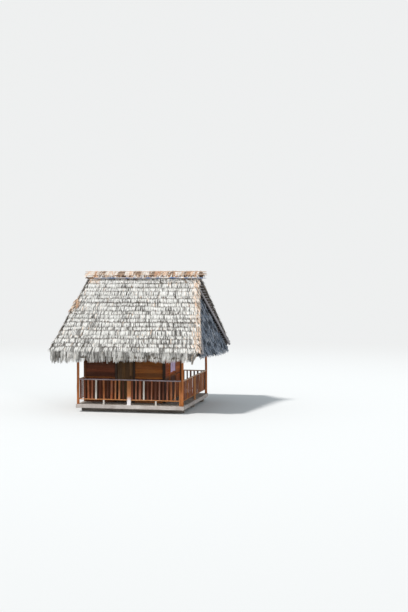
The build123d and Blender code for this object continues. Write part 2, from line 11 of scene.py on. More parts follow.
import bpy
import numpy as np
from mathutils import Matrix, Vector


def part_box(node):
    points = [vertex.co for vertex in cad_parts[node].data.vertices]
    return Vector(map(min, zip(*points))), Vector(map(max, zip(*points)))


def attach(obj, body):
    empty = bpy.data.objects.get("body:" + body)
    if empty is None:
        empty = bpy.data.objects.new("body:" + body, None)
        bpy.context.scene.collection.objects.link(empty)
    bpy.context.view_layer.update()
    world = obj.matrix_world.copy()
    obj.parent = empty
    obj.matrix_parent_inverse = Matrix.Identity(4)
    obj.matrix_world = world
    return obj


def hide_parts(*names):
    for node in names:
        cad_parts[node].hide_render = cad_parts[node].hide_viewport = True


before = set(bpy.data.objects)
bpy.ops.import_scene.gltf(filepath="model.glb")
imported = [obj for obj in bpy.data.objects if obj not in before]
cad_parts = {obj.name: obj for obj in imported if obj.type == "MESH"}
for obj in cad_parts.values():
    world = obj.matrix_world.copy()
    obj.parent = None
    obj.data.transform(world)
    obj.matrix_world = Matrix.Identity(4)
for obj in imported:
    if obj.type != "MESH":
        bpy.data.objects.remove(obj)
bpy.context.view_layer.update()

# %% [markdown]
# The driving sizes come from the nodes' boxes. Four of them can't be read from a box: how high the ridge
# and the eave edge lie, how long the slopes are at the ridge, and where the planes of the ends meet the
# ridge's height. They are written here once, as on the model.

# %% Places read from the model
DECK_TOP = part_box("deck_floor")[1][2]
ROOF_LOW, ROOF_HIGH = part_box("front_thatch")
RIDGE_Z = DECK_TOP + 5.2
EAVE_Z = DECK_TOP + 2.18
EAVE_Y = -ROOF_LOW[1]
VERGE_EAVE = ROOF_HIGH[0]
VERGE_RIDGE = 2.29
CAP_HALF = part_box("ridge_cap")[1][0]
PITCH = math.atan2(RIDGE_Z - EAVE_Z, EAVE_Y)
SLOPE = (RIDGE_Z - EAVE_Z) / math.sin(PITCH)
FRINGE_Z = ROOF_LOW[2]
COURSES = 15
COURSE_STEP = 0.04  # how much lower a course starts than it ends
LEAF_ROWS = 20  # layers of leaf that show as lines along the slope
print("pitch", round(math.degrees(PITCH), 1), "slope length", round(SLOPE, 2), "deck", round(DECK_TOP, 3))

# %% [markdown]
# The camera stands where the photo was taken: about 40 m off, a little to the right, with a long lens. Its
# place and turn were fitted to the posts, rails and roof corners, so the house lands on the same part of
# the frame.

# %% Camera
CAMERA_AT = Vector((10.693, -40.175, DECK_TOP + 4.934))
CAMERA_TURN = math.radians(11.549)  # to the left of straight back
CAMERA_TILT = math.radians(-1.562)
FOCAL_MM = 59.46
SENSOR_MM = 36.0
FAR_CLIP = 400.0

camera_data = bpy.data.cameras.new("camera")
camera_data.lens = FOCAL_MM
camera_data.sensor_width = SENSOR_MM
camera_data.clip_end = FAR_CLIP
camera = bpy.data.objects.new("camera", camera_data)
bpy.context.collection.objects.link(camera)
bpy.context.scene.camera = camera
look = Vector((
    -math.sin(CAMERA_TURN) * math.cos(CAMERA_TILT),
    math.cos(CAMERA_TURN) * math.cos(CAMERA_TILT),
    math.sin(CAMERA_TILT),
))
camera.location = CAMERA_AT
camera.rotation_mode = "QUATERNION"
camera.rotation_quaternion = look.to_track_quat("-Z", "Y")
print("camera at", [round(v, 2) for v in CAMERA_AT])

# %% [markdown]
# ## Shader groups
# Three effects are shared by many materials, so each is one node group: wood grain, the fibres of dry leaf,
# and slow weathering stains. A group puts out masks only, and each material mixes its own colours by them.

# %% Helpers for node trees
MIX_A, MIX_B, MIX_RESULT = 6, 7, 2  # the colour sockets of a Mix node, which share their names with others


def linear(code):
    """A colour written as an sRGB code, as the linear value that a shader takes."""
    parts = [int(code[i:i + 2], 16) / 255 for i in (1, 3, 5)]
    return [p / 12.92 if p <= 0.04045 else ((p + 0.055) / 1.055) ** 2.4 for p in parts] + [1.0]


def fill(tree, socket, value):
    """Links a socket where value is another socket, and otherwise sets it."""
    if hasattr(value, "links"):
        tree.links.new(value, socket)
    else:
        socket.default_value = value


def node(tree, kind, inputs=None, **settings):
    """A new shader node; inputs gives a socket or a value for each input, by its name or number."""
    made = tree.nodes.new("ShaderNode" + kind)
    for key, value in settings.items():
        setattr(made, key, value)
    for key, value in (inputs or {}).items():
        fill(tree, made.inputs[key], value)
    return made


def maths(tree, operation, *values, clamp=False):
    """The output of a Math node on sockets or numbers."""
    return node(tree, "Math", dict(enumerate(values)), operation=operation, use_clamp=clamp).outputs[0]


def scaled(tree, vector, by):
    """Coordinates multiplied axis by axis."""
    return node(tree, "VectorMath", {0: vector, 1: by}, operation="MULTIPLY").outputs[0]


def noise(tree, vector, scale, detail, roughness=0.5, distortion=0.0):
    """The value of a Noise texture."""
    shape = {"Scale": scale, "Detail": detail, "Roughness": roughness, "Distortion": distortion}
    return node(tree, "TexNoise", {"Vector": vector, **shape}).outputs[0]


def ranged(tree, value, low=0.0, high=1.0, to_low=0.0, to_high=1.0, **settings):
    """A value stretched so that low to high becomes to_low to to_high, and held between them."""
    ends = {"Value": value, "From Min": low, "From Max": high, "To Min": to_low, "To Max": to_high}
    return node(tree, "MapRange", ends, **settings).outputs[0]


def mix_colour(tree, factor, first, second):
    """The colour of first with second over it by factor; each is a socket or a value."""
    return node(tree, "Mix", {0: factor, MIX_A: first, MIX_B: second}, data_type="RGBA").outputs[MIX_RESULT]


def tint(tree, colour, mask, share, code):
    """A colour with another one, written as a code, over it by a share of a mask."""
    return mix_colour(tree, maths(tree, "MULTIPLY", mask, share), colour, linear(code))


def new_group(name, place, numbers):
    """A shader node group with a vector input called place and number inputs, and what comes in by them."""
    group = bpy.data.node_groups.new(name, "ShaderNodeTree")
    group.interface.new_socket(name=place, in_out="INPUT", socket_type="NodeSocketVector")
    for socket, value in numbers.items():
        made = group.interface.new_socket(name=socket, in_out="INPUT", socket_type="NodeSocketFloat")
        made.default_value = value
    return group, group.nodes.new("NodeGroupInput").outputs


def put_out(group, masks):
    """Gives a group its outputs, one for each named mask."""
    for name in masks:
        group.interface.new_socket(name=name, in_out="OUTPUT", socket_type="NodeSocketFloat")
    leave = group.nodes.new("NodeGroupOutput")
    for name, mask in masks.items():
        group.links.new(mask, leave.inputs[name])
    print("group", group.name, list(masks))
    return group


# %% Wood grain group
def make_grain_group():
    """Long streaks, fine pores and a few knots, from coordinates that run along the grain in X."""
    group, given = new_group("wood_grain", "Along grain", {"Stretch": 14.0, "Fineness": 60.0})
    along, fineness = given["Along grain"], given["Fineness"]
    shorter = maths(group, "DIVIDE", 1.0, given["Stretch"])
    long = scaled(group, along, node(group, "CombineXYZ", {"X": shorter, "Y": 1.0, "Z": 1.0}).outputs[0])
    broad_scale = maths(group, "MULTIPLY", fineness, 0.35)
    fine_scale = maths(group, "MULTIPLY", fineness, 3.0)
    broad = noise(group, long, broad_scale, detail=4.0, roughness=0.6, distortion=0.4)
    fine = noise(group, long, fine_scale, detail=3.0, roughness=0.7)
    streak = ranged(group, broad, 0.3, 0.7)
    pore = ranged(group, fine, 0.52, 0.75)
    knots = {"Vector": scaled(group, along, (0.35, 1.0, 1.0)), "Scale": 2.4, "Randomness": 1.0}
    far = maths(group, "MULTIPLY", node(group, "TexVoronoi", knots).outputs["Distance"], 14.0)
    knot = maths(group, "SUBTRACT", 1.0, far, clamp=True)
    raised = maths(group, "SUBTRACT", maths(group, "MULTIPLY", streak, 0.6), pore)
    height = maths(group, "SUBTRACT", raised, maths(group, "MULTIPLY", knot, 0.5))
    return put_out(group, {"Streak": streak, "Pore": pore, "Knot": knot, "Height": height})


GRAIN = make_grain_group()


# %% Leaf fibre group
def make_fibre_group():
    """Veins along a dry leaf, and blotches where it has greyed, from coordinates that run along it in X."""
    group, given = new_group("leaf_fibre", "Along leaf", {"Veins": 220.0})
    along = given["Along leaf"]
    long = scaled(group, along, (0.06, 1.0, 1.0))
    vein = ranged(group, noise(group, long, scale=given["Veins"], detail=2.0, roughness=0.55), 0.35, 0.65)
    blotch = ranged(group, noise(group, along, scale=9.0, detail=4.0, roughness=0.65), 0.42, 0.66)
    return put_out(group, {"Vein": vein, "Blotch": blotch, "Height": vein})


FIBRE = make_fibre_group()


# %% Weathering group
def make_weather_group():
    """Slow stains over the whole house: a patchy mask, and a low band that grows towards a height.

    The low band gives splash dirt, and on the middle post a painted highlight.
    """
    group, given = new_group(
        "weathering", "Place", {"Patch size": 1.2, "Low band height": 0.4, "Low band reach": 0.35})
    scale = maths(group, "DIVIDE", 2.0, given["Patch size"])
    spots = noise(group, given["Place"], scale, detail=5.0, roughness=0.6)
    height = node(group, "SeparateXYZ", {0: given["Place"]}).outputs["Z"]
    above = maths(group, "SUBTRACT", height, given["Low band height"])
    fade = maths(group, "SUBTRACT", 1.0, maths(group, "DIVIDE", above, given["Low band reach"]), clamp=True)
    splash_and_highlight = maths(group, "MULTIPLY", fade, maths(group, "ADD", spots, 0.45), clamp=True)
    return put_out(group, {"Patch": ranged(group, spots, 0.4, 0.68), "Low band": splash_and_highlight})


WEATHER = make_weather_group()

# %% [markdown]
# ## Materials
# Pieces made here carry a map called "grain" in metres, with U along the piece, so that the streaks follow
# each board. Only the bearer logs take their grain from the axes of the house. Each separate board or leaf
# gets a tone of its own from Random Per Island.


# %% What all materials share
def new_material(name):
    """A material, its node tree and its Principled shader."""
    material = bpy.data.materials.new(name)
    material.use_nodes = True
    return material, material.node_tree, material.node_tree.nodes["Principled BSDF"]


def grain_map(tree):
    """Coordinates from the piece's own map, with X along the grain."""
    return node(tree, "UVMap", uv_map="grain").outputs[0]


def house_place(tree):
    """Coordinates in metres along the axes of the house."""
    return node(tree, "TexCoord").outputs["Object"]


def masks(tree, group, inputs):
    """The outputs of a group placed in a material."""
    return node(tree, "Group", inputs, node_tree=group).outputs


def shifted(tree, vector, amount):
    """Coordinates moved by a different amount on each separate board or leaf, and that board's number."""
    number = node(tree, "NewGeometry").outputs["Random Per Island"]
    moved = node(tree, "VectorMath", {0: vector, 1: maths(tree, "MULTIPLY", number, amount)}, operation="ADD")
    return moved.outputs[0], number


def ramp(tree, value, stops):
    """A colour ramp through stops, a colour code for each place. Returns its colour."""
    made = node(tree, "ValToRGB", {0: value})
    elements = made.color_ramp.elements
    while len(elements) < len(stops):
        elements.new(0.5)
    for element, (place, code) in zip(elements, stops.items()):
        element.position = place
        element.color = linear(code)
    return made.outputs["Color"]


def finish_surface(tree, surface, colour, roughness, height, strength, depth):
    """Colour, roughness and relief on a Principled shader; depth is the relief's, in metres."""
    relief = node(tree, "Bump", {"Height": height, "Strength": strength, "Distance": depth}).outputs[0]
    for name, value in (("Base Color", colour), ("Roughness", roughness), ("Normal", relief)):
        fill(tree, surface.inputs[name], value)


# %% Timber material
def timber(name, tones, streak, knot, mapped=True, fineness=60.0, bump=0.5, roughness=(0.62, 0.85),
           dust="#b7ada0", dust_share=0.35, splash_and_highlight=0.0, splash_and_highlight_colour="#6e6458"):
    """A weathered timber: tones are ramp stops picked per piece, streak and knot are darker colours."""
    material, tree, surface = new_material(name)
    vector, number = shifted(tree, grain_map(tree) if mapped else house_place(tree), 37.0)
    grain = masks(tree, GRAIN, {"Along grain": vector, "Fineness": fineness})
    weather = masks(tree, WEATHER, {"Place": house_place(tree), "Low band height": DECK_TOP})
    colour = tint(tree, ramp(tree, number, tones), grain["Streak"], 0.65, streak)
    colour = tint(tree, colour, grain["Pore"], 0.55, knot)
    colour = tint(tree, colour, grain["Knot"], 0.8, knot)
    colour = tint(tree, colour, weather["Patch"], dust_share, dust)
    # Towards the deck the colour goes to a second colour: splash dirt on the walls, and a painted highlight
    # on the middle post.
    if splash_and_highlight:
        between = maths(tree, "SUBTRACT", 1.0, maths(tree, "MULTIPLY", grain["Streak"], 0.6))
        low_band_share = maths(tree, "MULTIPLY", weather["Low band"], splash_and_highlight)
        colour = tint(tree, colour, low_band_share, between, splash_and_highlight_colour)
    surface.inputs["Specular IOR Level"].default_value = 0.25
    rough = ranged(tree, grain["Streak"], to_low=roughness[0], to_high=roughness[1])
    finish_surface(tree, surface, colour, rough, grain["Height"], bump, 0.004)
    return material


# %% Timbers of the rails, deck and bearers
RAIL_BOARD = timber(
    "rail_boards",
    {0: "#c26c34", 0.2: "#7c402a", 0.4: "#cc8044", 0.6: "#94604c", 0.8: "#b4602c", 1: "#6c3a26"},
    "#5c3220", "#301a12", fineness=90, dust_share=0.15)
BLEACHED_WOOD = timber(
    "bleached_boards", {0: "#d6d0c8", 1: "#c9c4be"}, "#a79f96", "#7b726a", fineness=80, dust_share=0.1)
GREY_RAIL = timber(
    "grey_rail", {0: "#9b8389", 0.5: "#a99a9f", 1: "#8f7a7c"}, "#6f5f63", "#4c4044", fineness=80,
    dust="#c9c0c4", dust_share=0.5)
ORANGE_RAIL = timber(
    "orange_rail", {0: "#c8874f", 1: "#b4703c"}, "#865028", "#50301b", fineness=80, dust_share=0.12)
# This post turns nearly white towards the deck: a painted highlight, where the sun falls on its lower part.
MID_POST_HIGHLIGHT_WOOD = timber(
    "mid_post_painted_highlight", {0: "#c8874f", 1: "#b4703c"}, "#7a4426", "#50301b", dust_share=0.12, splash_and_highlight=2.4,
    splash_and_highlight_colour="#e6e1e2")
DECK_WOOD = timber(
    "deck_boards", {0: "#a59a8e", 0.5: "#b4a99c", 1: "#978b80"}, "#766b62", "#4d453f", dust="#cfc8c0",
    dust_share=0.45)
PALE_BEAM = timber(
    "pale_edge_beams", {0: "#c4bcb6", 1: "#b4aaa4"}, "#8c827b", "#5f5751", dust="#ddd8d4", dust_share=0.5)
LOG_WOOD = timber(
    "bearer_logs", {0: "#8d857c", 1: "#7c746c"}, "#5b534c", "#3a342f", mapped=False, fineness=45, bump=0.8,
    dust="#a79f96", dust_share=0.4)

# %% Timbers of the room
VARNISHED = {"fineness": 40, "roughness": (0.42, 0.62), "bump": 0.35}
OILED = {"fineness": 28, "roughness": (0.45, 0.66), "bump": 0.35}
BOARD_WOOD = timber(
    "varnished_boards", {0: "#bc500c", 0.25: "#e0740c", 0.5: "#7e360e", 0.75: "#ca620c", 1: "#9a420e"},
    "#4e220a", "#1e1006", dust="#86582c", dust_share=0.15, splash_and_highlight=0.35, **VARNISHED)
# The front boards below the windows are darker than the rest: painted shade behind the railing.
PAINTED_SHADE_LOW_BOARDS = timber(
    "painted_shade_low_front_boards", {0: "#6c3218", 0.3: "#844018", 0.6: "#4c2414", 1: "#763a1a"}, "#341a0e", "#180d08",
    dust="#6e5440", dust_share=0.22, splash_and_highlight=0.4, **VARNISHED)
SHUTTER_WOOD = timber(
    "shutter_boards", {0: "#84461c", 0.3: "#b86c2a", 0.6: "#603216", 1: "#ba6e26"}, "#3c200e", "#1c100a",
    dust="#8e6c48", dust_share=0.25, **OILED)
RED_BOARD_WOOD = timber(
    "red_brown_boards", {0: "#5e301e", 0.35: "#8a482a", 0.65: "#462416", 1: "#743a22"}, "#2a1610", "#170c08",
    dust="#6e4e3a", dust_share=0.2, **OILED)
DARK_WOOD = timber(
    "dark_posts", {0: "#3a2a22", 1: "#47352a"}, "#241a15", "#15100d", dust="#6d5c50", dust_share=0.3)
DOOR_WOOD = timber(
    "door_boards", {0: "#6a4a30", 0.35: "#86623e", 0.65: "#4a3622", 1: "#72522f"}, "#2e2016", "#19120c",
    fineness=28, dust="#80705a", dust_share=0.3)
print("timbers made:", len(bpy.data.materials))

# %% [markdown]
# The roof is dry palm leaf. Sun and rain have bleached the outside to a warm pale grey. The right end, which
# lies in shade, is given a cooler and darker grey: painted shade. The newer cap and the verges are still tan.
# Each leaf is lighter or darker than its neighbours, has fine veins, and is greyer in blotches. Towards its
# root end, under the row above, it is darker than at its tip: painted shade, with some dirt.

# %% Leaf material
# Over these spans from a blade's root, the painted shade and dirt under the row above fades out.
SHADED_ROOT = (0.16, 0.26)  # metres from a blade's root, where the course above ends
SHADED_END = (0.16, 0.32)


def leaf(name, tones, vein, blotch, blotch_share=0.5, vein_share=0.35, root_shade_and_dirt=0.45, root_span=(0.02, 0.2),
         patch=None, patch_share=0.3):
    """A dry leaf: tones are ramp stops picked per blade, vein and blotch are the colours mixed over them."""
    material, tree, surface = new_material(name)
    own = grain_map(tree)
    vector, number = shifted(tree, own, 23.0)
    fibre = masks(tree, FIBRE, {"Along leaf": vector})
    colour = tint(tree, ramp(tree, number, tones), fibre["Vein"], vein_share, vein)
    colour = tint(tree, colour, fibre["Blotch"], blotch_share, blotch)
    if patch:
        weather = masks(tree, WEATHER, {"Place": house_place(tree), "Patch size": 0.9})
        colour = tint(tree, colour, weather["Patch"], patch_share, patch)
    # Towards its root a leaf is mixed with a dark grey-brown: painted shade under the row above, with some
    # dirt.
    run = node(tree, "SeparateXYZ", {0: own}).outputs["X"]
    colour = mix_colour(tree, ranged(tree, run, *root_span, root_shade_and_dirt, 0.0), colour, linear("#4a433a"))
    rough = ranged(tree, fibre["Blotch"], to_low=0.66, to_high=0.9)
    finish_surface(tree, surface, colour, rough, fibre["Height"], 0.45, 0.002)
    return material


# %% Leaves of the slopes and the cap
GREY_LEAF = leaf(
    "bleached_leaf", {0: "#97948e", 0.12: "#f6f4f0", 0.35: "#e4e1dc", 0.55: "#fdfcf9", 0.78: "#cfccc7",
                      0.93: "#faf9f6", 1: "#807d76"},
    "#a8a59f", "#bdbcb8", root_shade_and_dirt=0.95, root_span=SHADED_ROOT, patch="#dcd7ce", patch_share=0.2)
DULL_LEAF = leaf(
    "dull_leaf", {0: "#7d7b78", 0.4: "#9e9c98", 0.8: "#827f7a", 1: "#605d58"}, "#57544f", "#757370",
    root_shade_and_dirt=0.9, root_span=SHADED_ROOT, patch="#88847d")
PALE_TAN_LEAF = leaf(
    "pale_tan_leaf", {0: "#e6c8ae", 0.3: "#f6e9dc", 0.6: "#dcb592", 0.85: "#f3dfcd", 1: "#c99a74"},
    "#b89678", "#d6c9bc", blotch_share=0.4, root_shade_and_dirt=0.3)
TAN_LEAF = leaf(
    "tan_leaf",
    {0: "#d79a68", 0.22: "#f0d6ba", 0.45: "#c58252", 0.7: "#ecc8a4", 0.88: "#b9754a", 1: "#8a5a3a"},
    "#93623f", "#cdb8a2", blotch_share=0.35, root_shade_and_dirt=0.2)
BROWN_LEAF = leaf(
    "brown_leaf", {0: "#a06f47", 0.5: "#b98558", 1: "#6f4a2f"}, "#5b3d28", "#8a7059", root_shade_and_dirt=0.25)
DARK_LEAF = leaf("dark_leaf", {0: "#5a4332", 1: "#3d2d22"}, "#2c2019", "#6a5443", root_shade_and_dirt=0.2)

# %% Leaves of the shaded end, in greys with painted shade, and the mat below all leaves, dark with painted shade
# These greys are darker and bluer than the slopes' leaf: painted shade for the right end.
PAINTED_SHADE_LEAF = leaf(
    "painted_shade_grey_leaf", {0: "#626e7d", 0.2: "#98a5b7", 0.45: "#768396", 0.7: "#b0bccd", 0.9: "#8693a5",
                         1: "#525d6c"},
    "#525c68", "#6a7583", root_shade_and_dirt=0.25, root_span=SHADED_END, patch="#7d8a9c")
PAINTED_SHADE_PALE_LEAF = leaf(
    "painted_shade_pale_grey_leaf", {0: "#a9b0bb", 0.5: "#d5d9e1", 1: "#bbc1cb"}, "#858c97", "#9ba3ae", root_shade_and_dirt=0.25,
    root_span=SHADED_END)
PAINTED_SHADE_DARK_LEAF = leaf(
    "painted_shade_dark_grey_leaf", {0: "#353b43", 0.5: "#4d555f", 1: "#282c32"}, "#24282d", "#3a414a", patch="#454d58")
# The mat's dark brown-grey is painted shade: it makes the gaps between blades, and the underside seen from
# inside, read dark.
PAINTED_SHADE_MAT_LEAF = leaf(
    "painted_shade_leaf_mat", {0: "#574f45", 1: "#665d52"}, "#352f28", "#40392f", blotch_share=0.7,
    vein_share=0.6, root_shade_and_dirt=0.0)
print("with the leaves:", len(bpy.data.materials))

# %% [markdown]
# ## Making meshes
# Thousands of blades are quickest as one mesh per part of the roof, worked out with numpy arrays. Each
# blade is three points wide, folded along its middle like a real leaflet, and follows a path of its own.


# %% Mesh helpers
SEED = 11
rng = np.random.default_rng(SEED)
LAYER_TRIANGLES = {}


def make_piece(name, shape, materials, slot, replaced=(), body="house", smooth=False):
    """A piece that moves with a body and stands for model nodes; shape is points, faces, grain map and picks.

    The picks give each face the number of its material, and are left out where there is only one.
    """
    points, faces, grain, *picks = shape
    listed = faces.tolist() if isinstance(faces, np.ndarray) else faces
    mesh = bpy.data.meshes.new(name)
    mesh.from_pydata(np.asarray(points).tolist(), [], listed)
    corner = np.empty(len(mesh.loops), dtype=np.int64)
    mesh.loops.foreach_get("vertex_index", corner)
    layer = mesh.uv_layers.new(name="grain")
    layer.data.foreach_set("uv", np.asarray(grain)[corner].astype(np.float32).reshape(-1))
    for material in materials:
        mesh.materials.append(material)
    if picks:
        mesh.polygons.foreach_set("material_index", np.asarray(picks[0], dtype=np.int32))
    if smooth:
        mesh.polygons.foreach_set("use_smooth", np.ones(len(mesh.polygons), dtype=bool))
    mesh.update()
    piece = bpy.data.objects.new(name, mesh)
    bpy.context.collection.objects.link(piece)
    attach(piece, body)
    if replaced:
        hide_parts(*replaced)
    LAYER_TRIANGLES[name] = sum(len(face.vertices) - 2 for face in mesh.polygons)
    print(name, "triangles", LAYER_TRIANGLES[name])
    return piece


def unit(vectors):
    """Vectors scaled to length one."""
    return vectors / np.maximum(np.linalg.norm(vectors, axis=-1, keepdims=True), 1e-9)


def summed(steps):
    """For each row of steps, how far one has come after each of them, from nothing."""
    return np.concatenate([np.zeros((len(steps), 1)), np.cumsum(steps, axis=1)], axis=1)


def waves(places, size):
    """Smooth random values from -1 to 1 that change over about size along places."""
    low = places.min()
    knots = rng.uniform(-1, 1, int((places.max() - low) / size) + 3)
    return np.interp((places - low) / size, np.arange(len(knots)), knots)


# %% Blades
def blades(paths, normals, widths, profile, fold=0.35):
    """Points, quads and grain map of folded blades; paths and normals are arrays of blade, row and axis."""
    count, rows = paths.shape[:2]
    along = unit(np.gradient(paths, axis=1))
    across = unit(np.cross(along, normals))
    half = 0.5 * widths[:, None, None] * np.asarray(profile)[None, :, None]
    columns = [paths - across * half, paths + normals * half * fold, paths + across * half]
    points = np.stack(columns, axis=2).reshape(-1, 3)
    first = (np.arange(count) * rows * 3)[:, None, None] + (np.arange(rows - 1) * 3)[None, :, None]
    first = first + np.arange(2)[None, None, :]
    quads = np.stack([first, first + 1, first + 4, first + 3], axis=-1).reshape(-1, 4)
    step = np.linalg.norm(np.diff(paths, axis=1), axis=2)
    run = summed(step)
    u = np.repeat(run[:, :, None], 3, axis=2)
    v = np.stack([-half[..., 0], np.zeros_like(half[..., 0]), half[..., 0]], axis=2)
    grain = np.stack([u, v], axis=-1).reshape(-1, 2)
    return points, quads, grain


def blade_picks(per_blade, rows):
    """The material number of each quad, from the number of each blade."""
    return np.repeat(per_blade, (rows - 1) * 2)


def stack_sets(sets):
    """Several (points, quads, grain, picks) sets as one."""
    points, quads, grain, picks = (list(part) for part in zip(*sets))
    starts = np.cumsum([0] + [len(some) for some in points[:-1]])
    quads = [some + start for some, start in zip(quads, starts)]
    return [np.concatenate(part) for part in (points, quads, grain, picks)]


def blade_normals(paths, direction, scatter):
    """Unit normals for blades that face about one direction, each turned a little at random."""
    return unit(np.broadcast_to(direction, paths.shape) + rng.normal(0, scatter, (len(paths), 1, 3)))


def spread(start, end, share):
    """For each blade a row of values that runs from its start to its end by the shares."""
    return start[:, None] + (end - start)[:, None] * share


# %% [markdown]
# ## Thatch of the two slopes
# Twenty rows of leaf lie over each other like shingles. A blade starts under the row above, where its colour
# is darkened with painted shade and some dirt, and hangs a little past its own row, so every row ends in a
# ragged line with a shade below. Under the blades lies a closed mat, dark with painted shade, that fills the
# gaps and is what shows from inside.


# %% Slope geometry
LEAF_SET = [GREY_LEAF, PALE_TAN_LEAF, BROWN_LEAF, DULL_LEAF]
TAN, BROWN, DULL = 1, 2, 3  # numbers in that set


def verge_at(reach):
    """Half length of the roof at a distance from the ridge in plan."""
    return VERGE_RIDGE + (VERGE_EAVE - VERGE_RIDGE) * reach / EAVE_Y


def slope_axes(side):
    """Down, out and across directions of the front (side -1) or rear (side 1) slope."""
    down = np.array([0.0, side * math.cos(PITCH), -math.sin(PITCH)])
    out = np.array([0.0, side * math.sin(PITCH), math.cos(PITCH)])
    return down, out, np.array([1.0, 0.0, 0.0])


def slope_points(side, x, along, level):
    """Points on a slope from arrays: x, distance down from the ridge, and height above the thatch's plane."""
    down, out, across = slope_axes(side)
    ridge = np.array([0.0, 0.0, RIDGE_Z])
    return ridge + x[..., None] * across + along[..., None] * down + level[..., None] * out


def clumps(places, size):
    """For sorted places, the number of the clump that each blade belongs to, clumps being about size wide."""
    edges = np.cumsum(rng.uniform(0.6 * size, 1.4 * size, int((places[-1] - places[0]) / size) + 3))
    return np.searchsorted(edges, places - places[0])


def per_clump(number, low, high):
    """One random value for each clump, given to all its blades."""
    return rng.uniform(low, high, number.max() + 1)[number]


SLOPE_CLUMP, END_CLUMP, FRINGE_TUFT = 0.045, 0.06, 0.07  # metres
CUPPED = 0.5  # how deeply these blades are folded
EDGE_INSET = 0.03  # from the end of a row to the verge
TIP_PAST = 0.04  # how far a blade hangs past its row
COVERED = 0.165  # how much of it lies under the row above
ROOT_DEPTH, END_ROOT_DEPTH = 0.058, 0.046  # of the roots, below the thatch's outer plane
SHARE = np.array([0.0, 0.4, 0.8, 1.0])  # where the points of a blade lie along it
RISE = np.array([0.0, 0.55, 1.0, 1.0])  # how far each point of a blade has come up out of the thatch
DROOP = np.array([0.0, 0.0, 0.1, 1.0])  # and how much of the tip's droop it takes


def slope_leaves(side, density):
    """The blades of one slope in small clumps that lift, hang and lean together; density is blades a metre.

    Every second row, the foot row of its pair, lies higher and shows as the stronger line.
    """
    out = slope_axes(side)[1]
    row_length = SLOPE / LEAF_ROWS
    sets = []
    for row in range(LEAF_ROWS):
        crest = (row + 1) * row_length
        foot_row = row % 2
        half = verge_at(crest * math.cos(PITCH)) - EDGE_INSET
        count = int(2 * half * density)
        tip_x = np.sort(rng.uniform(-half, half, count))  # where each blade's tip lies along the row
        clump = clumps(tip_x, SLOPE_CLUMP)
        band = np.clip(waves(tip_x, 0.8) + 0.15, 0, 1)  # where the line of the row stands out
        shift = rng.uniform(-0.05, 0.05) if row < LEAF_ROWS - 2 else 0
        sway = shift + 0.03 * waves(tip_x, 0.9) + 0.018 * waves(tip_x, 0.25)
        hang = TIP_PAST + sway + per_clump(clump, -0.02, 0.02) + rng.normal(0, 0.02, count)
        hang = hang + 0.02 * band * foot_row
        lift = per_clump(clump, 0.0, 1.0) ** 2 * 0.012 + (0.006 + 0.034 * band) * (0.2 + 0.8 * foot_row)
        lean = per_clump(clump, -0.025, 0.025) - 0.04 * side
        cover = COVERED + 0.03 * waves(tip_x, 0.35) + rng.uniform(-0.025, 0.025, count)
        root = np.maximum(crest - row_length - cover, 0.02)
        tip = crest + hang
        shrink = verge_at(root * math.cos(PITCH)) / verge_at(crest * math.cos(PITCH))
        root_x = tip_x * shrink + rng.normal(0, 0.016, count)
        gather_in = (np.bincount(clump, tip_x) / np.maximum(np.bincount(clump), 1))[clump] - tip_x
        bend = lean + 0.1 * gather_in + rng.normal(0, 0.014, count)
        low = -ROOT_DEPTH + rng.uniform(-0.012, 0.012, count)
        crown = -0.012 - 0.015 * (1 - foot_row) + lift + rng.uniform(-0.008, 0.008, count)
        droop = rng.uniform(0.0, 0.03, count) + 0.3 * lift
        share = np.array([0.0, 0.42, 0.8, 1.0])
        along = spread(root, tip, share)
        x = spread(root_x, tip_x, share) + bend[:, None] * share ** 2
        level = spread(low, crown, RISE) - droop[:, None] * DROOP
        paths = slope_points(side, x, along, level)
        normals = blade_normals(paths, out, 0.3)
        widths = rng.uniform(0.011, 0.028, count) * (1 + 0.6 * (rng.random(count) < 0.12))
        points, quads, grain = blades(paths, normals, widths, [0.8, 1.0, 0.85, 0.25], CUPPED)
        pick = np.zeros(count, dtype=int)
        shade = per_clump(clump, 0.0, 1.0)
        pick[(shade + rng.normal(0, 0.15, count)) < 0.06 + 0.013 * row] = DULL
        near_right = half - tip_x < rng.uniform(0.1, 0.42, count)
        corner = (tip_x < -half + 0.5) & (row < 3)
        pick[near_right & (rng.random(count) < 0.5)] = TAN
        pick[corner & (rng.random(count) < 0.5)] = TAN
        stray = rng.random(count)
        pick[stray < 0.012] = TAN
        pick[stray > 0.996] = BROWN
        sets.append((points, quads, grain, blade_picks(pick, len(share))))
    return stack_sets(sets)


# %% Leaves of both slopes
FRONT_DENSITY, REAR_DENSITY = 148, 123
for side, name, density in ((-1, "front_leaves", FRONT_DENSITY), (1, "rear_leaves", REAR_DENSITY)):
    make_piece(name, slope_leaves(side, density), LEAF_SET, "thatch")


# %% Closed mat under the leaves
def loft(rings):
    """Faces of a closed skin through rings of equal size; rings is an array of ring, point and axis."""
    count, size = rings.shape[:2]
    faces = []
    for low in range(0, (count - 1) * size, size):
        high = low + size
        for place in range(size):
            nearby = (place + 1) % size
            faces.append((low + place, low + nearby, high + nearby, high + place))
    faces.append(tuple(reversed(range(size))))
    faces.append(tuple(range((count - 1) * size, count * size)))
    return faces


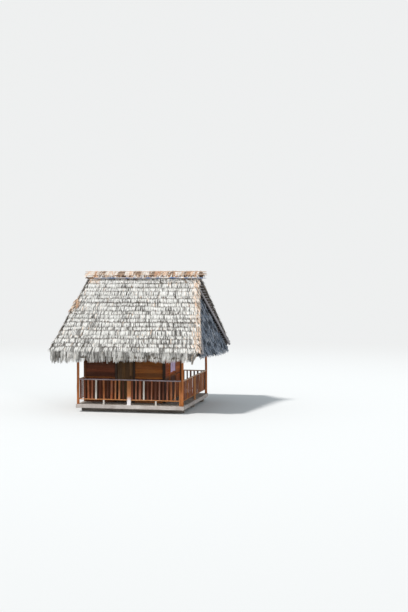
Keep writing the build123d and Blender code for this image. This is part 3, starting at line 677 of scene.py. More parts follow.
def slope_mat(side):
    """The stepped body of a slope as rings across the roof."""
    outline = []
    for course in range(COURSES):
        for along, depth in ((course, COURSE_STEP), (course + 0.5, COURSE_STEP * 0.6), (course + 1, 0.004)):
            run = along * SLOPE / COURSES
            level = -depth - 0.026
            reach = run * math.cos(PITCH) + level * math.sin(PITCH)
            outline.append((max(reach, 0.0), RIDGE_Z - run * math.sin(PITCH) + level * math.cos(PITCH)))
    under = 0.205 / math.cos(PITCH)
    knee = EAVE_Y - 0.165
    outline[-1] = (EAVE_Y - 0.05, EAVE_Z - 0.03)
    outline.append((EAVE_Y - 0.06, FRINGE_Z + 0.16))
    outline.append((EAVE_Y - 0.115, FRINGE_Z + 0.17))
    outline.append((knee, RIDGE_Z - knee * math.tan(PITCH) - under))
    for share in (0.8, 0.6, 0.4, 0.2, 0.0):
        reach = knee * share
        outline.append((reach, RIDGE_Z - reach * math.tan(PITCH) - under))
    outline = np.array(outline)
    columns = 61
    rings = np.zeros((columns, len(outline), 3))
    for column, share in enumerate(np.linspace(-1, 1, columns)):
        half = verge_at(outline[:, 0]) - 0.035
        below = np.clip((EAVE_Z - outline[:, 1]) / (EAVE_Z - FRINGE_Z), 0, 1)
        half = half - below * (0.31 if share > 0 else 0.08)
        rings[column, :, 0] = share * half
        rings[column, :, 1] = side * outline[:, 0]
        rings[column, :, 2] = outline[:, 1]
    inner = slice(1, len(outline) - 1)
    rings[1:-1, inner, 1:] += rng.normal(0, 0.006, rings[1:-1, inner, 1:].shape)
    rings[:, 0, 1] = 0.0
    rings[:, -1, 1] = 0.0
    grain = np.stack([np.broadcast_to(np.arange(len(outline)) * 0.2, (columns, len(outline))),
                      rings[:, :, 0]], axis=-1).reshape(-1, 2)
    return rings.reshape(-1, 3), loft(rings), grain


for side, name in ((-1, "front_thatch"), (1, "rear_thatch")):
    make_piece(name + "_mat", slope_mat(side), [PAINTED_SHADE_MAT_LEAF], "thatch", [name])

# %% [markdown]
# At the eave the last leaves are long. They bend over the edge and hang as a fringe about half a metre
# deep, ragged below. Each path is found by turning a walking direction from the slope to straight down.


# %% Hanging fringe
def fringe(side, count):
    """Long blades that bend over the eave and hang, in three depths and in tufts."""
    profile = [0.7, 0.9, 1.0, 1.0, 0.95, 0.85, 0.65, 0.2]
    rows = len(profile)
    root_x = np.sort(rng.uniform(-VERGE_EAVE + 0.04, VERGE_EAVE - 0.04, count))
    tuft = clumps(root_x, FRINGE_TUFT)
    layer = rng.integers(0, 3, count)  # 0 is the outermost and shortest
    bundle = waves(root_x, 0.45)
    on_slope = rng.uniform(0.14, 0.34, count)
    deepest = FRINGE_Z + 0.02 + 0.06 * rng.random(count) ** 2 + per_clump(tuft, -0.01, 0.06) - 0.03 * bundle
    up = np.array([0.3, 0.15, 0.0])[layer]
    low = deepest + up + np.where(layer < 2, per_clump(tuft, -0.09, 0.09), per_clump(tuft, -0.015, 0.05))
    if side < 0:
        low = low - 0.09 * np.clip(-root_x / VERGE_EAVE, 0, 1)
    length = on_slope + (EAVE_Z - low) * 1.02
    hang = math.radians(89) + rng.normal(0, 0.05, count) - per_clump(tuft, 0.0, 1.0) ** 2 * 0.2 * (layer < 2)
    share = np.linspace(0, 1, rows)
    run = share[None, :] * length[:, None]
    bent = np.clip((run - on_slope[:, None] + 0.06) / 0.12, 0, 1)
    angle = PITCH + (hang[:, None] - PITCH) * bent ** 2 * (3 - 2 * bent)
    step = length[:, None] / (rows - 1)
    forward = summed(np.cos(angle[:, :-1]) * step)
    fall = summed(np.sin(angle[:, :-1]) * step)
    inward = 0.032 * layer + rng.uniform(0.0, 0.02, count)
    start_reach = EAVE_Y - 0.035 - inward - on_slope * math.cos(PITCH)
    start_height = EAVE_Z + on_slope * math.sin(PITCH) - 0.006 - 0.014 * layer
    inset = np.where(root_x > 0, 0.3, 0.02)
    near = np.clip((np.abs(root_x) - (VERGE_EAVE - 0.5)) / 0.5, 0, 1)
    lean = -np.sign(root_x) * inset * near ** 1.5 + rng.normal(0, 0.014, count) + per_clump(tuft, -0.03, 0.03)
    paths = np.zeros((count, rows, 3))
    paths[:, :, 0] = root_x[:, None] + lean[:, None] * share[None, :] ** 1.5
    paths[:, :, 1] = side * (start_reach[:, None] + forward)
    paths[:, :, 2] = start_height[:, None] - fall
    normals = np.zeros_like(paths)
    normals[:, :, 1] = side * np.sin(angle)
    normals[:, :, 2] = np.cos(angle)
    normals = blade_normals(paths, normals, 0.35)
    widths = rng.uniform(0.012, 0.032, count)
    points, quads, grain = blades(paths, normals, widths, profile, CUPPED)
    pick = np.zeros(count, dtype=int)
    pick[(per_clump(tuft, 0.0, 1.0) + rng.normal(0, 0.12, count)) < 0.32] = DULL
    pick[rng.random(count) < 0.015] = TAN
    pick[(root_x > VERGE_EAVE - 0.3) & (rng.random(count) < 0.25)] = TAN
    return points, quads, grain, blade_picks(pick, rows)


FRONT_FRINGE, REAR_FRINGE = 2900, 2500  # blades
for side, name, count in ((-1, "front_fringe", FRONT_FRINGE), (1, "rear_fringe", REAR_FRINGE)):
    make_piece(name, fringe(side, count), LEAF_SET, "thatch")

# %% [markdown]
# ## Thatch of the two ends
# The ends lean in by seventeen degrees under the verges. They have eleven thinner courses, the last of
# which hangs free. Each row is only as wide as the room between the two slopes.

# %% End geometry
END_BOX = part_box("right_end_thatch")
END_LOW = END_BOX[0][2]
END_REACH = END_BOX[1][1]
END_TOP_X = 1.91  # where the end's outer plane would reach the ridge's height
END_LEAN = math.atan2(END_BOX[1][0] - END_TOP_X, RIDGE_Z - END_LOW)
END_COURSES = 11
END_FACE = (RIDGE_Z - END_LOW) / math.cos(END_LEAN)
ATTIC_DROP = 0.2433 / math.cos(PITCH)  # from the thatch's plane to the battens' underside, upright
FREE_END = END_FACE - 0.1  # where the last course leaves the mat
print("ends lean by", round(math.degrees(END_LEAN), 1), "degrees, face", round(END_FACE, 2))


def end_points(hand, y, along, level):
    """Points on the right (hand 1) or left (-1) end: y, distance down its face, height above its plane."""
    x = END_TOP_X + along * math.sin(END_LEAN) + level * math.cos(END_LEAN)
    z = RIDGE_Z - along * math.cos(END_LEAN) + level * math.sin(END_LEAN)
    return np.stack([hand * x, y, z], axis=-1)


def end_half_width(z):
    """Half the width of an end at a height: it narrows under the slopes and is cut plumb at the eaves."""
    return np.clip((RIDGE_Z - ATTIC_DROP - z) / math.tan(PITCH), 0.0, END_REACH)


# The right end takes the greys with painted shade; the left end takes the slopes' own leaf.
PAINTED_SHADE_SET = [PAINTED_SHADE_LEAF, BROWN_LEAF, PAINTED_SHADE_DARK_LEAF, PAINTED_SHADE_PALE_LEAF]
SUNNY_SET = [GREY_LEAF, BROWN_LEAF, DULL_LEAF, GREY_LEAF]
END_BROWN, END_DARK, END_PALE = 1, 2, 3  # numbers in both sets


def end_leaves(hand, density):
    """The blades of one end, two rows to a course; density is blades a metre."""
    out = np.array([hand * math.cos(END_LEAN), 0.0, math.sin(END_LEAN)])
    rows = 2 * END_COURSES
    row_length = END_FACE / rows
    sets = []
    for row in range(rows):
        crest = (row + 1) * row_length
        half = float(end_half_width(RIDGE_Z - crest * math.cos(END_LEAN))) - 0.02
        if half < 0.12:
            continue
        last = row == rows - 1
        count = int(2 * half * density * (1.6 if last else 1.0))
        y = np.sort(rng.uniform(-half, half, count))
        clump = clumps(y, END_CLUMP)
        sag = 0.03 * waves(y, 0.6)
        hang = 0.03 + per_clump(clump, -0.04, 0.04) + sag + rng.normal(0, 0.018, count)
        lift = per_clump(clump, 0.0, 1.0) ** 2 * 0.03
        if last:
            hang = -0.03 + per_clump(clump, -0.05, 0.04) + rng.normal(0, 0.02, count)
            hang = hang - 0.15 * np.clip(-y / END_REACH, -0.3, 1)
        root = np.maximum(crest - row_length - rng.uniform(0.14, 0.18, count) + sag, 0.01)
        under_slope = (ATTIC_DROP + (np.abs(y) + 0.01) * math.tan(PITCH)) / math.cos(END_LEAN)
        root = np.maximum(root, under_slope)
        tip = crest + hang
        bend = per_clump(clump, -0.05, 0.05) + rng.normal(0, 0.01, count)
        bend = np.where(np.abs(y) > half - 0.1, -np.sign(y) * np.abs(bend), bend)
        bend = bend * np.clip((tip - root) / 0.35, 0.2, 1)
        along = spread(root, tip, SHARE)
        low = -END_ROOT_DEPTH + rng.uniform(-0.01, 0.01, count)
        crown = -0.01 + lift + rng.uniform(-0.008, 0.008, count)
        level = spread(low, crown, RISE) - rng.uniform(-0.01, 0.02, count)[:, None] * DROOP
        paths = end_points(hand, y[:, None] + bend[:, None] * SHARE ** 2, along, level)
        fits = (tip - root > 0.07) & (y > 0.12 * (row - rows + 1) - END_REACH + 0.16 * last)
        normals = blade_normals(paths, out, 0.22)
        widths = rng.uniform(0.014, 0.032, count)
        keep = np.where(fits)[0]
        profile = [0.8, 1.0, 0.8, 0.22]
        points, quads, grain = blades(paths[keep], normals[keep], widths[keep], profile, CUPPED)
        pick = np.where(rng.random(count) < 0.012, END_BROWN, 0)
        # Tones go by clumps, and dark blades are more common towards the top of the end.
        tone = per_clump(clumps(y, 0.12), 0.0, 1.0) + rng.normal(0, 0.08, count)
        pick[tone < 0.5 - 0.012 * row] = END_DARK
        pick[tone > 0.84] = END_PALE
        sets.append((points, quads, grain, blade_picks(pick[keep], len(SHARE))))
    return stack_sets(sets)


# %% Leaves and mats of both ends
def end_mat(hand):
    """The stepped body of an end as rings down its face."""
    columns = 33
    rings = []
    runs = []
    for course in range(END_COURSES):
        runs.append((course / END_COURSES * END_FACE + 0.002, 0.052))
        runs.append(((course + 1) / END_COURSES * END_FACE - 0.002, 0.028))
    runs[-1] = (FREE_END, 0.04)
    for run, depth in runs:
        z = RIDGE_Z - run * math.cos(END_LEAN)
        half = float(end_half_width(z))
        if half < 0.02:
            continue
        across = np.linspace(-half, half, columns)
        raised = 0.14 * np.clip(-across / END_REACH, 0, 1) * (run == FREE_END)
        front = end_points(hand, across, run - raised, rng.normal(-depth, 0.005, columns))
        back = end_points(hand, across[::-1], run - raised[::-1], rng.normal(-0.15, 0.004, columns))
        rings.append(np.concatenate([front, back]))
    rings = np.array(rings)
    grain = np.stack([-rings[:, :, 2], rings[:, :, 1]], axis=-1).reshape(-1, 2)
    return rings.reshape(-1, 3), loft(rings), grain


END_DENSITY = 85
for hand, name, leaf_set in ((1, "right_end", PAINTED_SHADE_SET), (-1, "left_end", SUNNY_SET)):
    make_piece(name + "_leaves", end_leaves(hand, END_DENSITY), leaf_set, "end_thatch")
    make_piece(name + "_mat", end_mat(hand), [PAINTED_SHADE_MAT_LEAF], "end_thatch", [name + "_thatch"])

# %% [markdown]
# ## Ridge cap
# A mat of newer, tan leaf is folded over the ridge in three layers, and its strips cross the ridge. Darker
# tufts stick out where it is tied. Three thin rods lie along each side and stand out at the ends.


# %% Cap strips
CAP_WIDTH = 0.48  # down each slope
CAP_ROUND = 0.05  # how softly the strips bend over the ridge
CAP_SET = [TAN_LEAF, PALE_TAN_LEAF, GREY_LEAF, BROWN_LEAF, DARK_LEAF]
CAP_MIX = [0.12, 0.2, 0.33, 0.11, 0.24]  # the share of each in the cap


def over_ridge(shares, reach_front, reach_rear, x, level):
    """Points on a strip from the front side of the cap (share 0) over the ridge to its rear (share 1)."""
    run = -reach_front[:, None] + (reach_front + reach_rear)[:, None] * shares[None, :]
    rounded = np.sqrt(run ** 2 + CAP_ROUND ** 2)
    outwards = level[:, None] * math.sin(PITCH) * (np.abs(run) / rounded)
    y = np.sign(run) * np.abs(run) * math.cos(PITCH) + np.sign(run) * outwards
    z = RIDGE_Z - (rounded - CAP_ROUND) * math.sin(PITCH) + level[:, None] * math.cos(PITCH)
    return np.stack([x + 0 * run, y, z], axis=-1)


def cap_strips(count, layers):
    """Strips of tan leaf over the ridge, in layers."""
    sets = []
    shares = np.array([0.0, 0.14, 0.3, 0.42, 0.5, 0.58, 0.7, 0.86, 1.0])
    profile = [0.3, 0.9, 1, 1, 1, 1, 1, 0.9, 0.3]
    for layer in range(layers):
        x = np.sort(rng.uniform(-CAP_HALF + 0.02, CAP_HALF - 0.02, count))
        ragged = 0.035 * waves(x, 0.14)
        front = CAP_WIDTH - 0.02 - 0.07 * layer + ragged + rng.normal(0, 0.015, count)
        rear = CAP_WIDTH - 0.02 - 0.07 * layer - ragged + rng.normal(0, 0.015, count)
        level = 0.022 + 0.011 * layer + rng.uniform(-0.007, 0.007, count)
        slant = rng.normal(0.05, 0.1, count)
        leaning = x[:, None] + slant[:, None] * (shares - 0.5)[None, :]
        paths = over_ridge(shares, front, rear, leaning, level)
        normals = np.zeros_like(paths)
        y = paths[:, :, 1]
        normals[:, :, 1] = np.sign(y) * math.sin(PITCH) * np.minimum(1, np.abs(y) / 0.06)
        normals[:, :, 2] = math.cos(PITCH)
        normals = blade_normals(paths, normals, 0.12)
        widths = rng.uniform(0.022, 0.055, count)
        points, quads, grain = blades(paths, normals, widths, profile, fold=0.4)
        grain[:, 0] += 0.2
        group = clumps(x, 0.08)
        pick = rng.choice(len(CAP_SET), group.max() + 1, p=CAP_MIX)[group]
        sets.append((points, quads, grain, blade_picks(pick, len(shares))))
    return stack_sets(sets)


CAP_STRIPS, CAP_LAYERS = 250, 3
make_piece("ridge_cap_strips", cap_strips(CAP_STRIPS, CAP_LAYERS), CAP_SET, "cap_mat")


# %% Cap mat
def cap_mat():
    """The closed folded mat below the strips, as rings along the ridge."""
    shares = np.linspace(0, 1, 17)
    reach = np.array([CAP_WIDTH - 0.03])
    rings = []
    for x in np.linspace(-CAP_HALF + 0.03, CAP_HALF - 0.03, 50):
        places = np.full((1, len(shares)), x)
        upper = over_ridge(shares, reach, reach, places, np.array([0.024]))[0]
        lower = over_ridge(shares[::-1], reach, reach, places, np.array([0.002]))[0]
        upper[1:-1, 2] += rng.normal(0, 0.003, len(shares) - 2)
        rings.append(np.concatenate([upper, lower]))
    rings = np.array(rings)
    grain = np.stack([rings[:, :, 1], rings[:, :, 0]], axis=-1).reshape(-1, 2)
    return rings.reshape(-1, 3), loft(rings), grain


make_piece("ridge_cap_mat", cap_mat(), [BROWN_LEAF], "cap_mat", ["ridge_cap"])


# %% Cap tufts
def tufts(side, places):
    """Bunches of short dark leaf that stick out of the cap where it is tied."""
    bunch = 16
    centres = np.repeat(places, bunch)
    count = len(centres)
    along = 0.12 + 0.3 * np.repeat(rng.random(len(places)), bunch) + rng.normal(0, 0.025, count)
    x = centres + rng.normal(0, 0.035, count)
    share = np.array([0.0, 0.5, 1.0])
    length = rng.uniform(0.05, 0.12, count)
    run = along[:, None] + length[:, None] * share[None, :]
    level = 0.05 + share[None, :] * rng.uniform(0.0, 0.02, count)[:, None]
    across = x[:, None] + rng.normal(0, 0.03, count)[:, None] * share[None, :]
    paths = slope_points(side, across, run, level)
    normals = blade_normals(paths, slope_axes(side)[1], 0.4)
    points, quads, grain = blades(paths, normals, rng.uniform(0.014, 0.03, count), [0.6, 1.0, 0.3])
    brown = np.where(rng.random(count) < 0.4, 1, 0)
    return points, quads, grain, blade_picks(brown, len(share))


tuft_places = np.cumsum(rng.uniform(0.22, 0.5, 13)) - CAP_HALF
tuft_places = tuft_places[tuft_places < VERGE_RIDGE - 0.1]
both_sides = stack_sets([tufts(-1, tuft_places), tufts(1, -tuft_places)])
make_piece("ridge_tufts", both_sides, [DARK_LEAF, BROWN_LEAF], "cap_mat")

# %% [markdown]
# ## Verges
# The outer leaves of both verges stand out past the edge in small steps. At the right they are newer and
# orange. Half way up the left verge of the front slope a brown bunch has come loose.


# %% Verge leaves
def verge_leaves(side, hand, count, brown_from=SLOPE, brown_to=SLOPE):
    """Blades along one verge that lean outwards over the edge, furthest at the foot of each course.

    Between brown_from and brown_to, metres down the slope, most of them are brown.
    """
    along = np.sort(rng.uniform(0.1, SLOPE - 0.02, count))
    place = along / SLOPE * COURSES
    within = place - np.floor(place)
    length = rng.uniform(0.16, 0.3, count)
    start = np.maximum(along - 0.15, 0.03)
    run = start[:, None] + length[:, None] * SHARE[None, :]
    run = np.minimum(run, SLOPE + 0.02)
    edge = verge_at(run * math.cos(PITCH))
    out = 0.05 * within ** 2 - 0.012 + rng.uniform(0.0, 0.012, count)
    out = out + 0.06 * (rng.random(count) < 0.25) * (along > SLOPE - 0.5) * (hand < 0)
    inside = rng.uniform(0.05, 0.12, count)
    x = edge - inside[:, None] * (1 - SHARE[None, :]) + out[:, None] * SHARE[None, :]
    level = -rng.uniform(0.0, 0.17, count)[:, None] * (0.3 + 0.7 * SHARE[None, :]) + 0.004
    paths = slope_points(side, hand * x, run, level)
    normals = blade_normals(paths, slope_axes(side)[1] * 0.7 + np.array([hand * 0.7, 0, 0]), 0.3)
    points, quads, grain = blades(paths, normals, rng.uniform(0.014, 0.03, count), [0.8, 1.0, 0.8, 0.2])
    newer = 0.5 if hand > 0 and side < 0 else 0.12
    pick = np.where(rng.random(count) < newer, TAN, 0)
    brown = (along > brown_from) & (along < brown_to) & (rng.random(count) < 0.8)
    pick[brown] = BROWN
    return points, quads, grain, blade_picks(pick, len(SHARE))


FRONT_VERGE, REAR_VERGE = 620, 380  # blades
LOOSE_PART = (1.75, 2.2)  # metres down the slope, where leaf of the left front verge has slipped
sets = [verge_leaves(-1, 1, FRONT_VERGE), verge_leaves(-1, -1, FRONT_VERGE, *LOOSE_PART),
        verge_leaves(1, 1, REAR_VERGE), verge_leaves(1, -1, REAR_VERGE)]
make_piece("verge_leaves", stack_sets(sets), LEAF_SET, "thatch")


# %% Loose brown bunch on the left verge
def loose_bunch(count):
    """Dead leaf that has slipped and juts out over the left verge of the front slope."""
    share = np.array([0.0, 0.3, 0.6, 0.85, 1.0])
    top = 1.6  # metres down the slope
    along = rng.uniform(top, top + BUNCH_LENGTH, count)
    length = rng.uniform(0.14, 0.34, count)
    turn = rng.uniform(0.1, 0.75, count)  # away from straight down the slope, towards the edge
    run = along[:, None] + length[:, None] * np.cos(turn)[:, None] * share[None, :]
    edge = verge_at(along * math.cos(PITCH))
    inwards = rng.uniform(0.03, 0.06 + 0.24 * np.sin((along - top) / BUNCH_LENGTH * math.pi), count)
    x = edge[:, None] - inwards[:, None] + length[:, None] * np.sin(turn)[:, None] * share[None, :]
    x = np.minimum(x, edge[:, None] + rng.uniform(0.02, 0.11, count)[:, None])
    arch = 0.03 * rng.random(count)[:, None] * np.sin(share * math.pi)[None, :]
    level = 0.012 + arch - 0.05 * share[None, :] ** 3
    paths = slope_points(-1, -x, run, level)
    normals = blade_normals(paths, slope_axes(-1)[1], 0.35)
    points, quads, grain = blades(paths, normals, rng.uniform(0.014, 0.032, count), [0.7, 1.0, 1.0, 0.7, 0.2])
    return points, quads, grain, blade_picks(rng.choice(len(BUNCH_SET), count, p=BUNCH_MIX), len(share))


BUNCH_SET, BUNCH_MIX = [TAN_LEAF, PALE_TAN_LEAF, BROWN_LEAF, GREY_LEAF], [0.35, 0.35, 0.12, 0.18]
BUNCH_BLADES = 120
BUNCH_LENGTH = 0.52
make_piece("loose_brown_bunch", loose_bunch(BUNCH_BLADES), BUNCH_SET, "thatch")

# %% [markdown]
# ## Poles
# The roof frame, the corner posts and the rods are natural poles: slightly bent, never quite round, and
# swollen a little at old knots. Each straight cylinder of the model is measured from its points, and a
# natural pole is grown along it, with a wander of a few millimetres, so that it still lies where it is
# carried.


# %% Solids of a node
def solids_of(name):
    """The separate solids of a model node, each as an array of its corner points."""
    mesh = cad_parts[name].data
    places = np.empty(len(mesh.vertices) * 3)
    mesh.vertices.foreach_get("co", places)
    unique, index = np.unique(np.round(places.reshape(-1, 3), 5), axis=0, return_inverse=True)
    index = index.reshape(-1)
    parent = np.arange(len(unique))

    def top(place):
        """The first point of the group that a point belongs to."""
        while parent[place] != place:
            parent[place] = parent[parent[place]]
            place = parent[place]
        return place

    for face in mesh.polygons:
        corners = [top(index[v]) for v in face.vertices]
        for corner in corners[1:]:
            parent[top(corner)] = top(corners[0])
    roots = np.array([top(i) for i in range(len(unique))])
    return [unique[roots == root] for root in np.unique(roots)]


def measured_pole(points):
    """The two ends of a pole's axis and its radius at each, from the points on its skin."""
    low, high = points.min(axis=0), points.max(axis=0)
    centre = (low + high) / 2
    values, vectors = np.linalg.eigh(np.cov((points - points.mean(axis=0)).T))
    axis = vectors[:, -1]
    run = (points - centre) @ axis
    reach = np.linalg.norm((points - centre) - run[:, None] * axis, axis=1)
    halfway = (run.min() + run.max()) / 2
    start_radius = np.percentile(reach[run < halfway], 90)
    end_radius = np.percentile(reach[run >= halfway], 90)
    return centre + axis * run.min(), centre + axis * run.max(), start_radius, end_radius


# %% Natural poles
def grow_pole(start, end, start_radius, end_radius, sides=10, wander=0.12, spacing=0.22):
    """Points, faces and grain of one natural pole between two points."""
    length = float(np.linalg.norm(end - start))
    axis = (end - start) / length
    aside = unit(np.cross(axis, [0.0, 0.0, 1.0] if abs(axis[2]) < 0.9 else [1.0, 0.0, 0.0]))
    above = np.cross(aside, axis)
    count = max(4, int(length / spacing))
    inner = np.linspace(0, length, count + 1)
    edge = min(start_radius * 0.2, 0.006)
    runs = np.concatenate([[0.0], inner[:1] + edge, inner[1:-1], [length - edge], [length]])
    mean = (start_radius + end_radius) / 2
    amplitude = min(wander * mean, 0.007)
    bow_a = waves(runs, max(length / 3, 0.5)) * amplitude
    bow_b = waves(runs, max(length / 4, 0.45)) * amplitude
    taper = start_radius + (end_radius - start_radius) * runs / length
    swell = 1 + 0.035 * waves(runs, 0.3) + 0.05 * (rng.random(len(runs)) < 0.15)
    radius = taper * swell
    radius[0] *= 0.86
    radius[-1] *= 0.86
    turn = np.linspace(0, 2 * math.pi, sides, endpoint=False)
    lumps = 1 + 0.03 * waves(np.arange(sides, dtype=float), 2.0)
    circle = np.cos(turn)[:, None] * aside + np.sin(turn)[:, None] * above
    centres = start + runs[:, None] * axis + bow_a[:, None] * aside + bow_b[:, None] * above
    rings = centres[:, None, :] + (radius[:, None] * lumps[None, :])[:, :, None] * circle[None, :, :]
    around = np.broadcast_to(turn[None, :] * mean, (len(runs), sides))
    grain = np.stack([np.broadcast_to(runs[:, None], (len(runs), sides)), around], axis=-1)
    return rings.reshape(-1, 3), loft(rings), grain.reshape(-1, 2)


def gather(shapes):
    """Several (points, faces, grain) shapes as one."""
    points, faces, grain, start = [], [], [], 0
    for some_points, some_faces, some_grain in shapes:
        points.append(some_points)
        faces.extend(tuple(int(i) + start for i in face) for face in some_faces)
        grain.append(some_grain)
        start += len(some_points)
    return np.concatenate(points), faces, np.concatenate(grain)


def make_timbers(name, shapes, materials, slot, replaced=(), picks=None, **habit):
    """One piece of many poles or boards; picks gives each of them its material number."""
    shape = gather(shapes)
    if picks is not None:
        shape += (np.concatenate([np.full(len(part[1]), pick) for part, pick in zip(shapes, picks)]),)
    return make_piece(name, shape, materials, slot, replaced, **habit)


def dress_poles(node_name, piece_name, material, slot, **habit):
    """Natural poles in place of the round solids of a node."""
    shapes = [grow_pole(*measured_pole(points), **habit) for points in solids_of(node_name)]
    make_timbers(piece_name, shapes, [material], slot, [node_name], smooth=True)


# %% Pole materials
POLE = {"fineness": 70, "bump": 0.7}
GREY_POLE = timber(
    "grey_pole_wood", {0: "#aaa6a8", 0.5: "#b9b5b8", 1: "#98949a"}, "#7a757a", "#4c4849", dust="#cbc8ca",
    dust_share=0.25, **POLE)
RAFTER_POLE = timber(
    "rafter_pole_wood", {0: "#8e857d", 0.5: "#9c938a", 1: "#7c736b"}, "#5d544c", "#38322d", dust="#aba39b",
    dust_share=0.25, **POLE)
TAN_POLE = timber(
    "tan_rod_wood", {0: "#e6cdb6", 0.5: "#d6b496", 1: "#c09a7e"}, "#a07a60", "#5f4636",
    dust="#e8dacc", **POLE)
POST_POLE = timber(
    "post_pole_wood", {0: "#b66a38", 0.5: "#c87c44", 1: "#a65a30"}, "#7f4524", "#4a2a18", dust="#c0997a",
    dust_share=0.12, **POLE)
print("pole woods:", [wood.name for wood in (GREY_POLE, RAFTER_POLE, TAN_POLE, POST_POLE)])

# %% Poles of the roof
for place in ("front", "rear", "end"):
    dress_poles(place + "_battens", place + "_batten_poles", GREY_POLE, "grey_pole", sides=8, spacing=0.4)
for node_name, piece_name in (("end_rafters", "end_rafter_poles"), ("king_posts", "king_post_poles"),
                              ("ridge_pole", "ridge_pole_log")):
    dress_poles(node_name, piece_name, RAFTER_POLE, "grey_pole")

# %% Rafters, of which those past the ridge's ends are greyer
for node_name in ("front_rafters", "rear_rafters"):
    solids = solids_of(node_name)
    shapes = [grow_pole(*measured_pole(points)) for points in solids]
    picks = [1 if abs(points[:, 0].mean()) > VERGE_RIDGE else 0 for points in solids]
    make_timbers(node_name[:-1] + "_poles", shapes, [RAFTER_POLE, GREY_POLE], "grey_pole", [node_name], picks,
                 smooth=True)

# %% Ridge rods, corner posts and the peg
dress_poles("ridge_rods", "ridge_rod_poles", TAN_POLE, "tan_pole", sides=8, wander=0.35)
dress_poles("corner_posts", "corner_post_poles", POST_POLE, "tan_pole", sides=14, spacing=0.16, wander=0.1)
dress_poles("cloth_peg", "cloth_peg_pole", POST_POLE, "tan_pole", spacing=0.05)

# %% [markdown]
# The long rods at the lower edge of the cap are old and nearly white, and still show rests of a dull blue
# paint.


# %% Cap rods
def painted_rod():
    """Bleached wood with patches of worn blue paint along it."""
    material = timber("bleached_rod", {0: "#f1eeeb", 1: "#e2ddd8"}, "#c2bbb5", "#8d867f", fineness=70,
                      dust_share=0.1)
    tree = material.node_tree
    base = tree.nodes["Principled BSDF"].inputs["Base Color"]
    worn = masks(tree, WEATHER, {"Place": house_place(tree), "Patch size": 0.75})
    paint = ranged(tree, worn["Patch"], 0.2, 0.6)
    fill(tree, base, tint(tree, base.links[0].from_socket, paint, 0.85, "#4479b2"))
    return material


dress_poles("cap_rods", "cap_rod_poles", painted_rod(), "tan_pole", wander=0.3)

# %% [markdown]
# ## Squared timber
# Beams, joists, posts and boards are sawn by hand: their edges are broken, and they bow a little. One
# helper makes a chamfered piece between two points, and every board below is made with it.


# %% Sawn pieces
SIDEWAYS, UP = 0, 2  # axes of the house


def sawn(start, end, wide, deep, facing, chamfer=0.005, bow=0.002, spacing=0.5):
    """Points, faces and grain of a chamfered board; wide runs across, deep along facing."""
    start, end, facing = (np.asarray(value, float) for value in (start, end, facing))
    length = float(np.linalg.norm(end - start))
    axis = (end - start) / length
    facing = unit(facing - axis * facing.dot(axis))
    across = np.cross(axis, facing)
    cut = min(chamfer, wide * 0.3, deep * 0.3)
    w, d = wide / 2, deep / 2
    section = np.array([(w, -d + cut), (w, d - cut), (w - cut, d), (-w + cut, d),
                        (-w, d - cut), (-w, -d + cut), (-w + cut, -d), (w - cut, -d)])
    count = max(1, int(length / spacing))
    runs = np.concatenate([[0.0], np.linspace(cut, length - cut, count + 1), [length]])
    scale = np.ones(len(runs))
    scale[0] = scale[-1] = 1 - cut / max(w, d)
    shift = np.stack([waves(runs, max(length / 2, 0.3)), waves(runs, max(length / 2, 0.3))], axis=1) * bow
    shape = section[None, :, :] * scale[:, None, None] + shift[:, None, :]
    rings = (start + runs[:, None, None] * axis + shape[:, :, :1] * across + shape[:, :, 1:] * facing)
    edge = np.linalg.norm(np.diff(np.vstack([section, section[:1]]), axis=0), axis=1)
    around = np.concatenate([[0.0], np.cumsum(edge)[:-1]])
    grain = np.stack([np.broadcast_to(runs[:, None], (len(runs), 8)),
                      np.broadcast_to(around[None, :], (len(runs), 8))], axis=-1)
    return rings.reshape(-1, 3), loft(rings), grain.reshape(-1, 2)


def sawn_box(low, high, along=None, **habit):
    """A sawn piece that fills a box; along is the number of the axis that the grain follows."""
    low, high = np.asarray(low, float), np.asarray(high, float)
    size, middle = high - low, (low + high) / 2
    axis = int(np.argmax(size)) if along is None else along
    others = [i for i in range(3) if i != axis]
    facing_axis = others[0] if size[others[0]] <= size[others[1]] else others[1]
    wide_axis = others[1] if facing_axis == others[0] else others[0]
    start, end, facing = middle.copy(), middle.copy(), np.zeros(3)
    start[axis], end[axis] = low[axis], high[axis]
    facing[facing_axis] = 1.0
    return sawn(start, end, size[wide_axis], size[facing_axis], facing, **habit)


def box_of(points):
    """The low and the high corner of a solid."""
    return points.min(axis=0), points.max(axis=0)


def dress_boxes(node_name, piece_name, material, slot, **habit):
    """Sawn timbers in place of the squared solids of a node."""
    shapes = [sawn_box(*box_of(points), **habit) for points in solids_of(node_name)]
    make_timbers(piece_name, shapes, [material], slot, [node_name])


# %% Beams, joists and rails
for node_name, piece_name in (("tie_beams", "tie_beam_timbers"),
                              ("eave_and_middle_beams", "eave_beam_timbers"),
                              ("end_beams", "end_beam_timbers")):
    dress_boxes(node_name, piece_name, RAFTER_POLE, "dark_timber", chamfer=0.01, bow=0.003)
dress_boxes("floor_joists", "floor_joist_timbers", DECK_WOOD, "deck_timber", chamfer=0.006)
dress_boxes("front_and_rear_edge_beams", "long_edge_beam_timbers", PALE_BEAM, "deck_timber", chamfer=0.008)
dress_boxes("side_edge_beams", "side_edge_beam_timbers", PALE_BEAM, "deck_timber", chamfer=0.008)

# %% Posts and rails of the room
posts = [box_of(points) for points in solids_of("room_posts")]
shapes = [sawn_box(low, high, along=UP, chamfer=0.008) for low, high in posts]
picks = [1 if low[0] < 0 else 0 for low, high in posts]
make_timbers("room_post_timbers", shapes, [DARK_WOOD, SHUTTER_WOOD], "dark_timber", ["room_posts"], picks)
dress_boxes("front_wall_rails", "front_wall_rail_timbers", SHUTTER_WOOD, "varnished_board", chamfer=0.004)

# %% [markdown]
# The bearers are logs hewn flat above and below. A natural pole is grown a little thicker, then its skin is
# pressed to the two flats, so that the bark side stays round between them.

